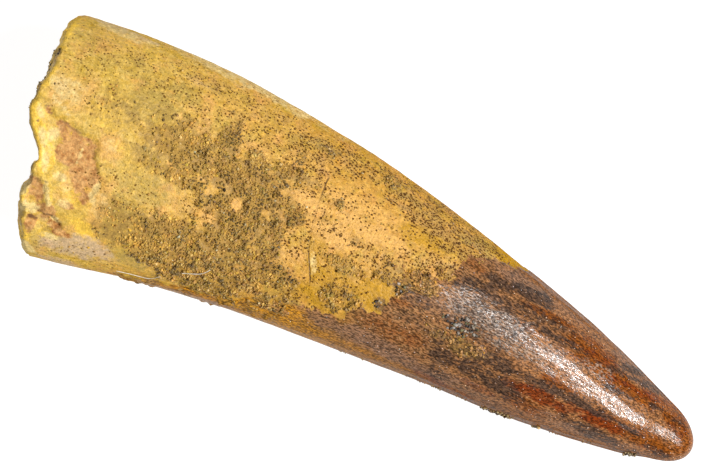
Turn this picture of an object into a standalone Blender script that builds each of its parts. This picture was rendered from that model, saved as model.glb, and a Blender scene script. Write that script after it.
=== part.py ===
"""A fossil tooth of a spinosaurus: crown and broken-off root in one solid, lying on its side.

The tooth is one grown piece, so it is one object. Its frame, in the lengths below:
  +X runs from the broken root to the tip, and is the longest way through the tooth.
  +Y points to the bowed front edge; the hollow back edge is on -Y.
  +Z is up. The tooth rests on a small flat spot of its underside, with the origin at its middle.
All lengths are in millimetres until the mesh is scaled to metres at the end.
"""

import math

import bmesh
import bpy
from mathutils import Vector, noise

MM = 0.001

# Driving dimensions of the outline, seen from above.
ROOT_END_X = -29.6
TIP_X = 50.45
TOOTH_LENGTH = TIP_X - ROOT_END_X
TIP_DOME_LENGTH = 5.0
TIP_DOME_POWER = 2.6
FRONT_EDGE = (
    (-30.0, 9.5), (-20.0, 11.05), (-10.0, 11.65), (4.0, 10.78), (16.0, 9.06), (26.0, 7.1),
    (34.0, 5.3), (40.0, 3.6), (44.0, 2.24), (47.0, 1.3), (50.3, 0.75),
)
BACK_EDGE = (
    (-30.0, -17.5), (-20.0, -15.15), (-10.0, -12.68), (0.0, -10.85), (6.0, -10.05), (14.0, -9.15),
    (22.0, -8.27), (30.0, -7.63), (38.0, -6.5), (44.0, -5.36), (47.0, -4.52), (50.3, -4.55),
)

# Side view: how thick the tooth is beside its width, and how its lowest line leaves the table.
THICKNESS_SHARE = ((-30.0, 0.74), (0.0, 0.78), (24.0, 0.84), (50.3, 0.88))
LOWEST_LINE = (
    (-30.0, 1.35), (-18.0, 0.4), (-9.0, -0.07), (1.0, -0.25), (11.0, -0.05), (22.0, 0.55),
    (36.0, 1.8), (50.3, 3.7),
)
SECTION_POWER = 2.15

# The break across the root: how far it reaches to -X at each Y, and its relief.
BREAK_LINE = (
    (-15.6, -22.4), (-13.0, -24.2), (-10.0, -25.1), (-6.2, -25.5), (-4.2, -26.5),
    (-2.4, -28.1), (0.0, -28.7), (4.0, -28.6), (8.0, -29.1), (9.4, -28.9), (10.4, -27.9),
)
BREAK_ROUGHNESS = 0.5
BREAK_ROUGHNESS_SIZE = 3.6
BREAK_EDGE_ROUNDING = 0.8
BREAK_EDGE_SHARE = 0.93
UNDERSIDE_SETBACK = 1.3
PULP_FILL_SHARE = 0.66
PULP_FILL_RECESS = 1.3

# Enamel: it reaches from the tip up to this line on each side, and ends there in a low step.
ENAMEL_LIMIT_ABOVE = (
    (-16.0, -14.3), (-9.0, -12.0), (0.0, -9.7), (4.0, -8.0), (8.0, -6.8), (11.0, -5.3),
    (14.2, -3.8), (14.8, -0.4), (16.4, 1.8), (18.6, 1.9), (19.6, 4.2), (20.4, 5.7),
    (23.2, 6.6), (26.4, 7.6), (30.0, 10.0),
)
ENAMEL_LIMIT_BELOW = (
    (-16.0, -14.3), (-6.0, -11.6), (2.0, -9.4), (8.0, -7.2), (12.0, -4.4), (15.0, -1.0),
    (19.0, 1.4), (22.0, 4.4), (26.4, 7.6), (30.0, 10.0),
)
ENAMEL_STEP = 0.2
ENAMEL_STEP_WIDTH = 0.7
FLUTES_AROUND = 22
FLUTE_DEPTH = 0.05
FLUTES_START_X = 12.0
FLUTES_END_X = 47.0
KEEL_HEIGHT = 0.16
KEEL_WIDTH = 0.13

# Sand cemented to the surface: x, y, half length, half width and height of each patch.
CRUST_ABOVE = (
    (-7.0, -7.7, 9.5, 3.0, 0.42),
    (-3.8, -2.6, 3.8, 3.6, 0.46),
    (-11.6, 1.9, 4.2, 2.3, 0.45),
    (-4.6, 1.9, 4.8, 2.0, 0.46),
    (-8.1, 5.0, 1.4, 2.0, 0.40),
    (-4.8, 4.4, 1.3, 0.9, 0.36),
    (1.4, 1.2, 1.2, 1.5, 0.36),
    (2.4, -5.2, 2.6, 1.6, 0.28),
    (9.4, -4.6, 2.2, 1.4, 0.34),
    (8.6, -1.2, 2.3, 0.8, 0.30),
    (16.0, 0.9, 2.8, 1.1, 0.32),
    (22.4, -1.3, 1.9, 0.8, 0.45),
    (-19.6, 2.9, 2.6, 2.6, 0.22),
    (-15.0, -9.4, 3.4, 2.4, 0.26),
    (2.4, 8.8, 1.5, 0.6, 0.22),
    (20.2, 7.2, 2.6, 0.8, 0.24),
)
CRUST_BELOW = (
    (-17.5, -8.8, 5.5, 3.0, 0.42),
    (-21.0, 5.0, 4.0, 3.2, 0.34),
    (-6.0, 8.0, 4.6, 1.7, 0.36),
    (16.0, 5.2, 3.2, 1.4, 0.36),
    (12.5, -6.6, 4.4, 1.4, 0.34),
    (29.0, -3.4, 2.2, 1.4, 0.30),
)
CRUST_RAGGEDNESS = 0.55
CRUST_RAGGEDNESS_SIZE = 1.9

# Places where the outer layer has flaked off near the break: x, y, half length, half width, depth.
CHIPS_ABOVE = (
    (-21.8, -3.7, 2.6, 2.4, 0.85),
    (-20.0, -6.2, 2.0, 2.2, 0.45),
    (-24.3, -9.9, 1.5, 2.4, 0.95),
    (-22.2, -11.7, 2.0, 0.9, 0.70),
    (-28.6, 5.0, 0.7, 0.5, 0.8),
)
CHIPS_BELOW = (
    (-25.5, 4.0, 2.4, 2.6, 0.8),
    (-21.6, -9.0, 2.0, 2.4, 0.7),
)

# Mesh: quads around the tooth, rings along it and rings across the break.
SEGMENTS_AROUND = 72
RINGS_ALONG = 52
RINGS_ACROSS_BREAK = 9
TIP_RING_SPACING = 6.0

ROOT_COLOUR = (0.66, 0.40, 0.08, 1.0)
ENAMEL_COLOUR = (0.17, 0.055, 0.018, 1.0)
CRUST_COLOUR = (0.28, 0.18, 0.045, 1.0)


def through(points, at):
    """Height at this place of the smooth curve through the points, which run from low to high."""
    at = min(max(at, points[0][0]), points[-1][0])
    i = next(i for i in range(1, len(points)) if at <= points[i][0])
    (x0, y0), (x1, y1) = points[i - 1], points[i]
    before, after = points[max(i - 2, 0)], points[min(i + 1, len(points) - 1)]
    slope0 = (y1 - before[1]) / (x1 - before[0])
    slope1 = (after[1] - y0) / (after[0] - x0)
    run = x1 - x0
    t = (at - x0) / run
    return (
        y0 * (1 + 2 * t) * (1 - t) ** 2
        + y1 * t * t * (3 - 2 * t)
        + slope0 * run * t * (1 - t) ** 2
        - slope1 * run * t * t * (1 - t)
    )


def ramp(low, high, value):
    """A smooth rise from 0 at low to 1 at high."""
    t = min(max((value - low) / (high - low), 0.0), 1.0)
    return t * t * (3 - 2 * t)


def tip_dome(x):
    """The share of its width that the tooth still has at x, which rounds the tip off."""
    t = max(x - (TIP_X - TIP_DOME_LENGTH), 0.0) / TIP_DOME_LENGTH
    return math.sqrt(max(1 - t**TIP_DOME_POWER, 0.0))


def section_size(x):
    """Middle Y, middle Z, half width and half thickness of the tooth's section at x."""
    front, back = through(FRONT_EDGE, x), through(BACK_EDGE, x)
    full_width = (front - back) / 2
    full_thickness = full_width * through(THICKNESS_SHARE, x)
    dome = tip_dome(x)
    middle_z = through(LOWEST_LINE, x) + full_thickness
    return (front + back) / 2, middle_z, full_width * dome, full_thickness * dome


def on_section(x, angle):
    """Point of the section at x, an oval a little squarer than an ellipse."""
    middle_y, middle_z, half_width, half_thickness = section_size(x)
    c, s = math.cos(angle), math.sin(angle)
    power = 2 / SECTION_POWER
    y = middle_y + half_width * math.copysign(abs(c) ** power, c)
    z = middle_z + half_thickness * math.copysign(abs(s) ** power, s)
    return y, z


def break_x(y, z):
    """X of the broken face at y and z, before the rounding of its edge and the pulp recess."""
    middle_z = section_size(ROOT_END_X)[1]
    rough = noise.fractal(Vector((7.0, y, z)) / BREAK_ROUGHNESS_SIZE, 1.0, 2.0, 4)
    setback = UNDERSIDE_SETBACK * ramp(middle_z + 2, 0, z)
    return through(BREAK_LINE, y) + setback + BREAK_ROUGHNESS * rough


def rim(angle):
    """Point of the root's rim at this angle, where the side of the tooth meets the break."""
    x = ROOT_END_X
    for _ in range(4):
        y, z = on_section(x, angle)
        x = break_x(y, z) + BREAK_EDGE_ROUNDING
    y, z = on_section(x, angle)
    return x, y, z


def side_point(step, angle):
    """Point of the tooth's side: step is 0 at the tip and 1 at the rim of the break."""
    reach = math.sqrt((TOOTH_LENGTH + TIP_RING_SPACING) ** 2 - TIP_RING_SPACING**2)
    from_tip = math.hypot(TIP_RING_SPACING, reach * step) - TIP_RING_SPACING
    x = TIP_X - (TIP_X - rim(angle)[0]) * from_tip / TOOTH_LENGTH
    return (x, *on_section(x, angle))


def break_point(share, angle):
    """Point of the broken face: share is 1 at the rim and 0 at its middle."""
    rim_x, rim_y, rim_z = rim(angle)
    middle_y, middle_z = section_size(ROOT_END_X + 3)[:2]
    y = middle_y + (rim_y - middle_y) * share
    z = middle_z + (rim_z - middle_z) * share
    near_rim = max(share - BREAK_EDGE_SHARE, 0) / (1 - BREAK_EDGE_SHARE)
    rounding = BREAK_EDGE_ROUNDING * (1 - math.sqrt(1 - near_rim**2))
    recess = PULP_FILL_RECESS * ramp(PULP_FILL_SHARE, PULP_FILL_SHARE - 0.14, share)
    return break_x(y, z) + rounding + recess, y, z


def patch_height(patches, x, y):
    """Height of the tallest of these patches at x and y, with ragged borders."""
    wander = CRUST_RAGGEDNESS * noise.noise(Vector((x, y, 3.0)) / CRUST_RAGGEDNESS_SIZE)
    tallest = 0.0
    for px, py, half_length, half_width, height in patches:
        out = math.hypot((x - px) / half_length, (y - py) / half_width) + wander
        tallest = max(tallest, height * ramp(1.1, 0.75, out))
    return tallest


def upper_share(x, z):
    """1 on the upper side of the tooth, 0 on the underside, and in between at its edges."""
    middle_z = section_size(x)[1]
    return ramp(middle_z - 1.5, middle_z + 0.5, z)


def both_sides(above, below, x, y, z):
    """Patch height on whichever side of the tooth the point lies."""
    upper = upper_share(x, z)
    return upper * patch_height(above, x, y) + (1 - upper) * patch_height(below, x, y)


def enamel_margin(x, y, z):
    """How far inside the enamel the point lies, in millimetres of Y; negative on the root."""
    upper = upper_share(x, z)
    above = through(ENAMEL_LIMIT_ABOVE, x)
    below = through(ENAMEL_LIMIT_BELOW, x)
    limit = upper * above + (1 - upper) * below
    return limit - y if x > ENAMEL_LIMIT_ABOVE[0][0] else -1.0


def crown_relief(x, y, z):
    """Height of the crown's flutes and of the keels along its two edges."""
    middle_y, middle_z, half_width, half_thickness = section_size(x)
    if half_width < 0.5:
        return 0.0
    across, up = (y - middle_y) / half_width, (z - middle_z) / half_thickness
    fade = ramp(FLUTES_START_X, FLUTES_START_X + 12, x) * ramp(TIP_X, FLUTES_END_X, x)
    flutes = FLUTE_DEPTH * math.cos(FLUTES_AROUND * math.atan2(up, across))
    keel = KEEL_HEIGHT * math.exp(-((up / KEEL_WIDTH) ** 2)) * ramp(-6, 10, x)
    return fade * flutes + keel * ramp(TIP_X, FLUTES_END_X, x)


def side_relief(x, y, z):
    """Height of the tooth's surface above its plain oval form."""
    step = ENAMEL_STEP * ramp(0, ENAMEL_STEP_WIDTH, enamel_margin(x, y, z))
    crust = both_sides(CRUST_ABOVE, CRUST_BELOW, x, y, z)
    chip = both_sides(CHIPS_ABOVE, CHIPS_BELOW, x, y, z)
    return step + crust - chip + crown_relief(x, y, z)


def shape_tooth(mesh):
    """Lays the rings of a ball along the tooth: its one pole is the tip, the other the break."""
    rings = RINGS_ALONG + RINGS_ACROSS_BREAK
    on_side = {}
    for vertex in mesh.verts:
        ring = round(math.acos(max(-1.0, min(1.0, vertex.co.z))) / math.pi * rings)
        angle = math.atan2(vertex.co.y, vertex.co.x)
        if ring <= RINGS_ALONG:
            vertex.co = side_point(ring / RINGS_ALONG, angle)
            on_side[vertex] = 1.0
        else:
            share = (rings - ring) / RINGS_ACROSS_BREAK
            vertex.co = break_point(share, angle)
            on_side[vertex] = 0.5 * ramp(BREAK_EDGE_SHARE - 0.12, 1, share)
    mesh.normal_update()
    moves = [
        (vertex, vertex.normal * side_relief(*vertex.co) * part)
        for vertex, part in on_side.items()
        if part > 0
    ]
    for vertex, move in moves:
        vertex.co += move


def cut_resting_spot(mesh):
    """Takes off what lies under z = 0, which leaves the small flat spot the tooth rests on."""
    everything = mesh.verts[:] + mesh.edges[:] + mesh.faces[:]
    cut = bmesh.ops.bisect_plane(
        mesh, geom=everything, dist=1e-6, plane_co=(0, 0, 0), plane_no=(0, 0, -1), clear_outer=True
    )
    border = [part for part in cut["geom_cut"] if isinstance(part, bmesh.types.BMEdge)]
    bmesh.ops.contextual_create(mesh, geom=border)


def finish_of(name, colour, roughness):
    """A plain material of this colour and roughness."""
    material = bpy.data.materials.new(name)
    material.use_nodes = True
    shader = material.node_tree.nodes["Principled BSDF"]
    shader.inputs["Base Color"].default_value = colour
    shader.inputs["Roughness"].default_value = roughness
    return material


def paint(mesh):
    """Gives each face its finish: 0 is the root, 1 the glossy enamel, 2 the sand crust."""
    for face in mesh.faces:
        x, y, z = face.calc_center_median()
        face.smooth = True
        if both_sides(CRUST_ABOVE, CRUST_BELOW, x, y, z) > 0.16:
            face.material_index = 2
        elif enamel_margin(x, y, z) > 0:
            face.material_index = 1


def make_tooth():
    """Builds the tooth as one closed mesh and puts it in the scene."""
    mesh = bmesh.new()
    bmesh.ops.create_uvsphere(
        mesh,
        u_segments=SEGMENTS_AROUND,
        v_segments=RINGS_ALONG + RINGS_ACROSS_BREAK,
        radius=1.0,
    )
    shape_tooth(mesh)
    cut_resting_spot(mesh)
    bmesh.ops.recalc_face_normals(mesh, faces=mesh.faces[:])
    paint(mesh)
    bmesh.ops.scale(mesh, vec=(MM, MM, MM), verts=mesh.verts[:])
    data = bpy.data.meshes.new("tooth")
    mesh.to_mesh(data)
    mesh.free()
    data.set_sharp_from_angle(angle=math.radians(40))
    data.materials.append(finish_of("fossil root", ROOT_COLOUR, 0.55))
    data.materials.append(finish_of("fossil enamel", ENAMEL_COLOUR, 0.25))
    data.materials.append(finish_of("sand crust", CRUST_COLOUR, 0.85))
    tooth = bpy.data.objects.new("tooth", data)
    bpy.context.scene.collection.objects.link(tooth)
    return tooth


def main():
    """Clears the scene and builds the tooth."""
    for obj in list(bpy.data.objects):
        bpy.data.objects.remove(obj)
    make_tooth()


main()
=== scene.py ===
"""The look of a fossil spinosaurus tooth: its sculpted skin, the sand cemented to it, and the studio.

Lengths are millimetres in the tooth's own frame until a mesh is written: +X runs from the broken
root to the tip, +Y to the bowed front edge, and +Z up from the table that the tooth lies on.
"""

import logging
import math
from collections.abc import Sequence
from dataclasses import dataclass, field
from enum import Enum

import bmesh
import bpy
import numpy as np
from mathutils import Matrix, Vector, noise


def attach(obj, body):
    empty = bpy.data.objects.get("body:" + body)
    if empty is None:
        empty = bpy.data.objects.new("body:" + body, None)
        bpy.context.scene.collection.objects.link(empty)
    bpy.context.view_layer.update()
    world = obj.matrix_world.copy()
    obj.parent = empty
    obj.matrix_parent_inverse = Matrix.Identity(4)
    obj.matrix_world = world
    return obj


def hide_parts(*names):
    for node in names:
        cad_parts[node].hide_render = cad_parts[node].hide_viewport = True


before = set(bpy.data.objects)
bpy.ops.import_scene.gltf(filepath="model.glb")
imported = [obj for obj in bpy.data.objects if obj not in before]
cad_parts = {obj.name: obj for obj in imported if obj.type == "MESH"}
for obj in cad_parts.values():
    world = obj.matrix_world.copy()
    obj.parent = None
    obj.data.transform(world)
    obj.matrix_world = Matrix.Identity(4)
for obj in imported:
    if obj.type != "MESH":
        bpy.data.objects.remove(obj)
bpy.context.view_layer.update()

MM = 0.001
NODE = "tooth"
BODY = "root"
# how far a patch reaches past its border before it has gone, and how wide that passage is
PATCH_REACH = 1.35
PATCH_FADE = 0.7
# the crust thins out between these two places along the tooth
CRUST_THINS = (-17, -9)
# the settings of a Mix node that mixes colours, whose result is its third output
OF_COLOURS = {"output": 2, "data_type": "RGBA"}
Socket = bpy.types.NodeSocket
# what an input takes: another node's output, a value, a vector or a hex colour
Source = bpy.types.NodeSocket | float | tuple | str
log = logging.getLogger("tooth")


def fade(start: float, end: float, value: np.ndarray) -> np.ndarray:
    """A smooth passage from 0 where value is at start to 1 where it is at end."""
    t = np.clip((value - start) / (end - start), 0.0, 1.0)
    return t * t * (3 - 2 * t)


def lumps(points: np.ndarray, size: float, octaves: int = 4, stretch: float = 1.0) -> np.ndarray:
    """Fractal noise at the points, mostly within -0.6 and 0.6.

    Args:
        points: one row of x, y, z for each place.
        size: how far apart the largest lumps are, in millimetres.
        octaves: how many finer sizes are added, each half the last.
        stretch: how many times longer the lumps are along the tooth than across it.

    Returns:
        One height for each point.
    """
    scaled = points / (size * np.array([stretch, 1.0, 1.0]))
    return np.array([noise.fractal(point, 1.0, 2.0, octaves) for point in scaled.tolist()])


def linear(colour: str) -> tuple[float, float, float, float]:
    """Turns an sRGB hex colour such as #D4A852 to a linear one with full alpha.

    Args:
        colour: the hex colour.

    Returns:
        Red, green, blue and alpha, from 0 to 1.
    """
    steps = [int(colour[i : i + 2], 16) / 255 for i in (1, 3, 5)]
    red, green, blue = (s / 12.92 if s <= 0.04045 else ((s + 0.055) / 1.055) ** 2.4 for s in steps)
    return red, green, blue, 1.0


def put_in_scene(name: str, data: bpy.types.ID) -> bpy.types.Object:
    """Puts a mesh, curve, lamp or camera in the scene.

    Args:
        name: the new object's name.
        data: what the object shows.

    Returns:
        The object.
    """
    placed = bpy.data.objects.new(name, data)
    bpy.context.scene.collection.objects.link(placed)
    return placed


@dataclass(frozen=True)
class SmoothLine:
    """A smooth curve through a few points, which run from low to high along the first value."""

    points: tuple[tuple[float, float], ...]

    def at(self, along: np.ndarray) -> np.ndarray:
        """The curve's height at each of these places; it stays level beyond its two ends.

        Args:
            along: the places, as values of the points' first number.

        Returns:
            One height for each place.
        """
        xs, ys = np.array(self.points).T
        slopes = np.empty_like(ys)
        slopes[1:-1] = (ys[2:] - ys[:-2]) / (xs[2:] - xs[:-2])
        slopes[0] = (ys[1] - ys[0]) / (xs[1] - xs[0])
        slopes[-1] = (ys[-1] - ys[-2]) / (xs[-1] - xs[-2])
        along = np.clip(along, xs[0], xs[-1])
        i = np.clip(np.searchsorted(xs, along) - 1, 0, len(xs) - 2)
        run = xs[i + 1] - xs[i]
        t = (along - xs[i]) / run
        return (
            ys[i] * (1 + 2 * t) * (1 - t) ** 2
            + ys[i + 1] * t * t * (3 - 2 * t)
            + slopes[i] * run * t * (1 - t) ** 2
            - slopes[i + 1] * run * t * t * (1 - t)
        )


@dataclass(frozen=True)
class ToothForm:
    """The plain oval form under the relief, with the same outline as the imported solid."""

    root_end_x: float = -29.6
    tip_x: float = 50.45
    dome_length: float = 5.0
    dome_power: float = 2.6
    section_power: float = 2.15
    front_edge: SmoothLine = SmoothLine((
        (-30, 9.5), (-20, 11.05), (-10, 11.65), (4, 10.78), (16, 9.06), (26, 7.1),
        (34, 5.3), (40, 3.6), (44, 2.24), (47, 1.3), (50.3, 0.75),
    ))
    back_edge: SmoothLine = SmoothLine((
        (-30, -17.5), (-20, -15.15), (-10, -12.68), (0, -10.85), (6, -10.05),
        (14, -9.15), (22, -8.27), (30, -7.63), (38, -6.5), (44, -5.36), (47, -4.52),
        (50.3, -4.55),
    ))
    thickness_share: SmoothLine = SmoothLine(((-30, 0.74), (0, 0.78), (24, 0.84), (50.3, 0.88)))
    lowest_line: SmoothLine = SmoothLine((
        (-30, 1.35), (-18, 0.4), (-9, -0.07), (1, -0.25), (11, -0.05), (22, 0.55),
        (36, 1.8), (50.3, 3.7),
    ))
    break_line: SmoothLine = SmoothLine((
        (-15.6, -22), (-14.4, -23), (-13.2, -23.6), (-12, -24.3), (-11, -24.6), (-9.4, -24.9),
        (-8.2, -24.8), (-7.2, -25.1), (-6.4, -25.3), (-6, -25), (-5, -25.3), (-4.2, -25.9),
        (-3.5, -26.6), (-3, -27.3), (-2.2, -27.7), (-1.2, -28), (0.2, -28.2), (1.1, -28.4),
        (1.9, -28.2), (3.6, -28.2), (4.6, -28.3), (5.6, -28.4), (7, -28.7), (8.4, -28.7),
        (9.4, -28.4), (10.4, -27.5),
    ))
    break_roughness: float = 0.5
    break_lump_size: float = 3.6
    break_lumps_at_x: float = 7.0
    break_middle: float = 3.0
    break_rounding: float = 0.35
    break_rounding_share: float = 0.93
    underside_setback: float = 1.3
    pulp_share: float = 0.66
    pulp_wall_share: float = 0.14
    pulp_recess: float = 1.3
    tip_ring_spacing: float = 6.0

    def section(self, x: np.ndarray) -> tuple[np.ndarray, ...]:
        """Middle Y, middle Z, half width and half thickness of the tooth at each x.

        Args:
            x: places along the tooth.

        Returns:
            The four values for each place.
        """
        front, back = self.front_edge.at(x), self.back_edge.at(x)
        half_width = (front - back) / 2
        half_thickness = half_width * self.thickness_share.at(x)
        into_dome = np.maximum(x - (self.tip_x - self.dome_length), 0.0) / self.dome_length
        dome = np.sqrt(np.maximum(1 - into_dome**self.dome_power, 0.0))
        middle_z = self.lowest_line.at(x) + half_thickness
        return (front + back) / 2, middle_z, half_width * dome, half_thickness * dome

    def on_section(self, x: np.ndarray, angle: np.ndarray) -> tuple[np.ndarray, np.ndarray]:
        """Y and Z of the oval section at x, in the direction of the angle.

        Args:
            x: places along the tooth.
            angle: directions round it, in radians from +Y.

        Returns:
            The two values for each place.
        """
        middle_y, middle_z, half_width, half_thickness = self.section(x)
        c, s = np.cos(angle), np.sin(angle)
        power = 2 / self.section_power
        y = middle_y + half_width * np.sign(c) * np.abs(c) ** power
        z = middle_z + half_thickness * np.sign(s) * np.abs(s) ** power
        return y, z

    def break_x(self, y: np.ndarray, z: np.ndarray) -> np.ndarray:
        """How far to -X the broken face reaches at y and z.

        Args:
            y: places across the tooth.
            z: their heights.

        Returns:
            X of the face at each place.
        """
        middle_z = self.section(np.array(self.root_end_x))[1]
        places = np.stack([np.full_like(y, self.break_lumps_at_x), y, z], axis=1)
        setback = self.underside_setback * fade(middle_z + 2, 0, z)
        bumps = self.break_roughness * lumps(places, self.break_lump_size)
        return self.break_line.at(y) + setback + bumps

    def rim(self, angle: np.ndarray) -> np.ndarray:
        """Points where the side of the tooth meets the break, one row for each angle.

        Args:
            angle: directions round the tooth, in radians from +Y.

        Returns:
            Rows of x, y, z.
        """
        x = np.full_like(angle, self.root_end_x)
        for _ in range(4):
            x = self.break_x(*self.on_section(x, angle)) + self.break_rounding
        return np.stack([x, *self.on_section(x, angle)], axis=1)

    def side(self, step: np.ndarray, angle: np.ndarray, rim: np.ndarray) -> np.ndarray:
        """Points of the tooth's side, from the tip at step 0 to the rim at step 1.

        Args:
            step: how far along the side each point is.
            angle: its direction round the tooth.
            rim: the rim's point in that direction.

        Returns:
            Rows of x, y, z.
        """
        length = self.tip_x - self.root_end_x
        first = self.tip_ring_spacing
        reach = math.sqrt((length + first) ** 2 - first**2)
        from_tip = np.hypot(first, reach * step) - first
        x = self.tip_x - (self.tip_x - rim[:, 0]) * from_tip / length
        return np.stack([x, *self.on_section(x, angle)], axis=1)

    def broken_end(self, share: np.ndarray, rim: np.ndarray) -> np.ndarray:
        """Points of the broken face, from the rim at share 1 to its middle at share 0.

        Args:
            share: how far out each point is.
            rim: the rim's point in its direction.

        Returns:
            Rows of x, y, z.
        """
        middle_y, middle_z = self.section(np.array(self.root_end_x + self.break_middle))[:2]
        y = middle_y + (rim[:, 1] - middle_y) * share
        z = middle_z + (rim[:, 2] - middle_z) * share
        near_rim = np.maximum(share - self.break_rounding_share, 0) / (1 - self.break_rounding_share)
        rounding = self.break_rounding * (1 - np.sqrt(1 - near_rim**2))
        floor = self.pulp_share - self.pulp_wall_share
        recess = self.pulp_recess * fade(self.pulp_share, floor, share)
        return np.stack([self.break_x(y, z) + rounding + recess, y, z], axis=1)


class Coat(Enum):
    """What lies on or shows at the tooth's surface; each is a painted attribute of the skin."""

    CRUST = "crust"
    # peach also carries a painted sheen: two long pale streaks on the root's upper side
    PEACH = "peach"
    YELLOW = "yellow"
    OLIVE = "olive"
    # cream also carries painted light: rim light along the root's top edge, and brightening on the broken
    # end's rim against its shade
    CREAM = "cream"
    MATRIX = "matrix"
    # grey is partly painted light: pale reflections along the root's edges, and pale glints on the
    # crown's ridge
    GREY = "grey"
    SPECKS = "specks"
    # dark also lays painted shadow along the ledges, chip edges and crevices of the broken end
    DARK = "dark"
    ORANGE = "orange"
    RED = "red"
    # violet is mostly a painted reflection, in lavender bands along the crown's edges
    VIOLET = "violet"


# the painted attributes beside the coats: distances to lines, and what lies along lines
LINES = ("silt", "keel", "edge_wear", "enamel", "crack", "crack_on", "end_wall")


@dataclass(frozen=True)
class Blot:
    """A ragged oval patch seen from above, turned anticlockwise by so many degrees."""

    x: float
    y: float
    half_length: float
    half_width: float
    strength: float = 1.0
    turn: float = 0.0

    def cover(
        self, x: np.ndarray, y: np.ndarray, wander: np.ndarray | float = 0.0
    ) -> np.ndarray:
        """How fully the patch covers each place: all within, fading out across its border.

        Args:
            x: the places' X.
            y: the places' Y.
            wander: how far the border strays there, in shares of the patch's size.

        Returns:
            One value for each place, from 0 to the patch's strength.
        """
        c, s = math.cos(math.radians(self.turn)), math.sin(math.radians(self.turn))
        along = ((x - self.x) * c + (y - self.y) * s) / self.half_length
        across = ((y - self.y) * c - (x - self.x) * s) / self.half_width
        within = (PATCH_REACH - np.hypot(along, across) - wander) / PATCH_FADE
        return self.strength * np.clip(within, 0, 1)


def blots(*rows: tuple[float, ...]) -> tuple[Blot, ...]:
    """Patches from rows of x, y, half length, half width, and strength and turn where given."""
    return tuple(Blot(*row) for row in rows)


CRUST_ABOVE = blots(
    (-6.4, -7.7, 8.6, 3), (-3.4, -2.6, 3.8, 3.6), (-11.6, 1.9, 4.4, 2.3), (-4.2, 1.8, 5.2, 2.1),
    (-8.1, 4.6, 1.4, 1.8), (-4.8, 4.4, 1.3, 0.9), (1.4, 1.2, 1.2, 1.5, 0.9),
    (0.9, -3.2, 1.3, 1.2, 0.85), (-0.8, 4.7, 2.2, 0.8, 0.7), (-0.8, 3.4, 1.2, 0.7, 0.6),
    (-9, -0.8, 1.1, 0.8, 0.7), (-1.4, 1.5, 2, 1.7, 0.95), (-1.6, 3, 1.1, 0.6, 0.8),
    (-0.4, -1.9, 1.8, 2.3, 0.95), (-1, -5, 2.2, 1.4, 0.9), (-10.8, -0.7, 1.6, 1.2, 0.8),
    (-10.6, -12.7, 2.4, 0.8, 0.5, 14), (1, 4.9, 1.6, 0.5, 0.5), (2.4, -5.6, 2.6, 1.4, 0.8),
    (9.4, -4.6, 2.2, 1.4, 0.48), (8.6, -1.2, 2.3, 0.8, 0.55), (15.8, 0.9, 2.9, 1, 0.6),
    (-13.6, -8.6, 2.4, 2, 0.6), (-14.4, -0.4, 2.6, 1.4, 0.5), (-20.4, 2.7, 2.8, 2.6, 0.34),
    (4.6, -7.2, 1.8, 0.8, 0.4), (2, 8.8, 1.6, 0.6, 0.45), (-0.5, 6.8, 0.6, 0.8, 0.5),
    (5.2, 4.2, 0.7, 0.5, 0.6), (4.6, 2.1, 0.6, 0.4, 0.6), (8.3, 1.6, 0.9, 0.5, 0.4),
    (-15.6, 4.4, 1.8, 0.8, 0.3), (-7.4, -1.6, 2, 0.5, 0.6), (23, -3.1, 3.4, 1.2, 0.4),
    (13.2, -0.3, 1.3, 0.5, 0.8), (13, 0.8, 1.3, 0.9, 0.55), (9.4, 8.9, 1.4, 0.6, 0.3),
    (18.5, 3, 1.1, 0.9, 0.6), (14.8, -0.9, 0.6, 0.9, 0.7), (13.6, -3, 0.5, 0.5, 0.7),
)
CRUST_WINDOWS = blots(
    (-14.6, -3.7, 3.4, 1.5), (-9.7, -3.5, 1.2, 1.3), (-6.4, -3.3, 0.9, 0.45), (-7.4, -0.5, 0.7, 0.4),
    (-4.4, -0.7, 0.55, 0.6), (3.5, -3, 1.1, 0.7), (1.5, 3.3, 1.3, 1, 0.85),
)
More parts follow.
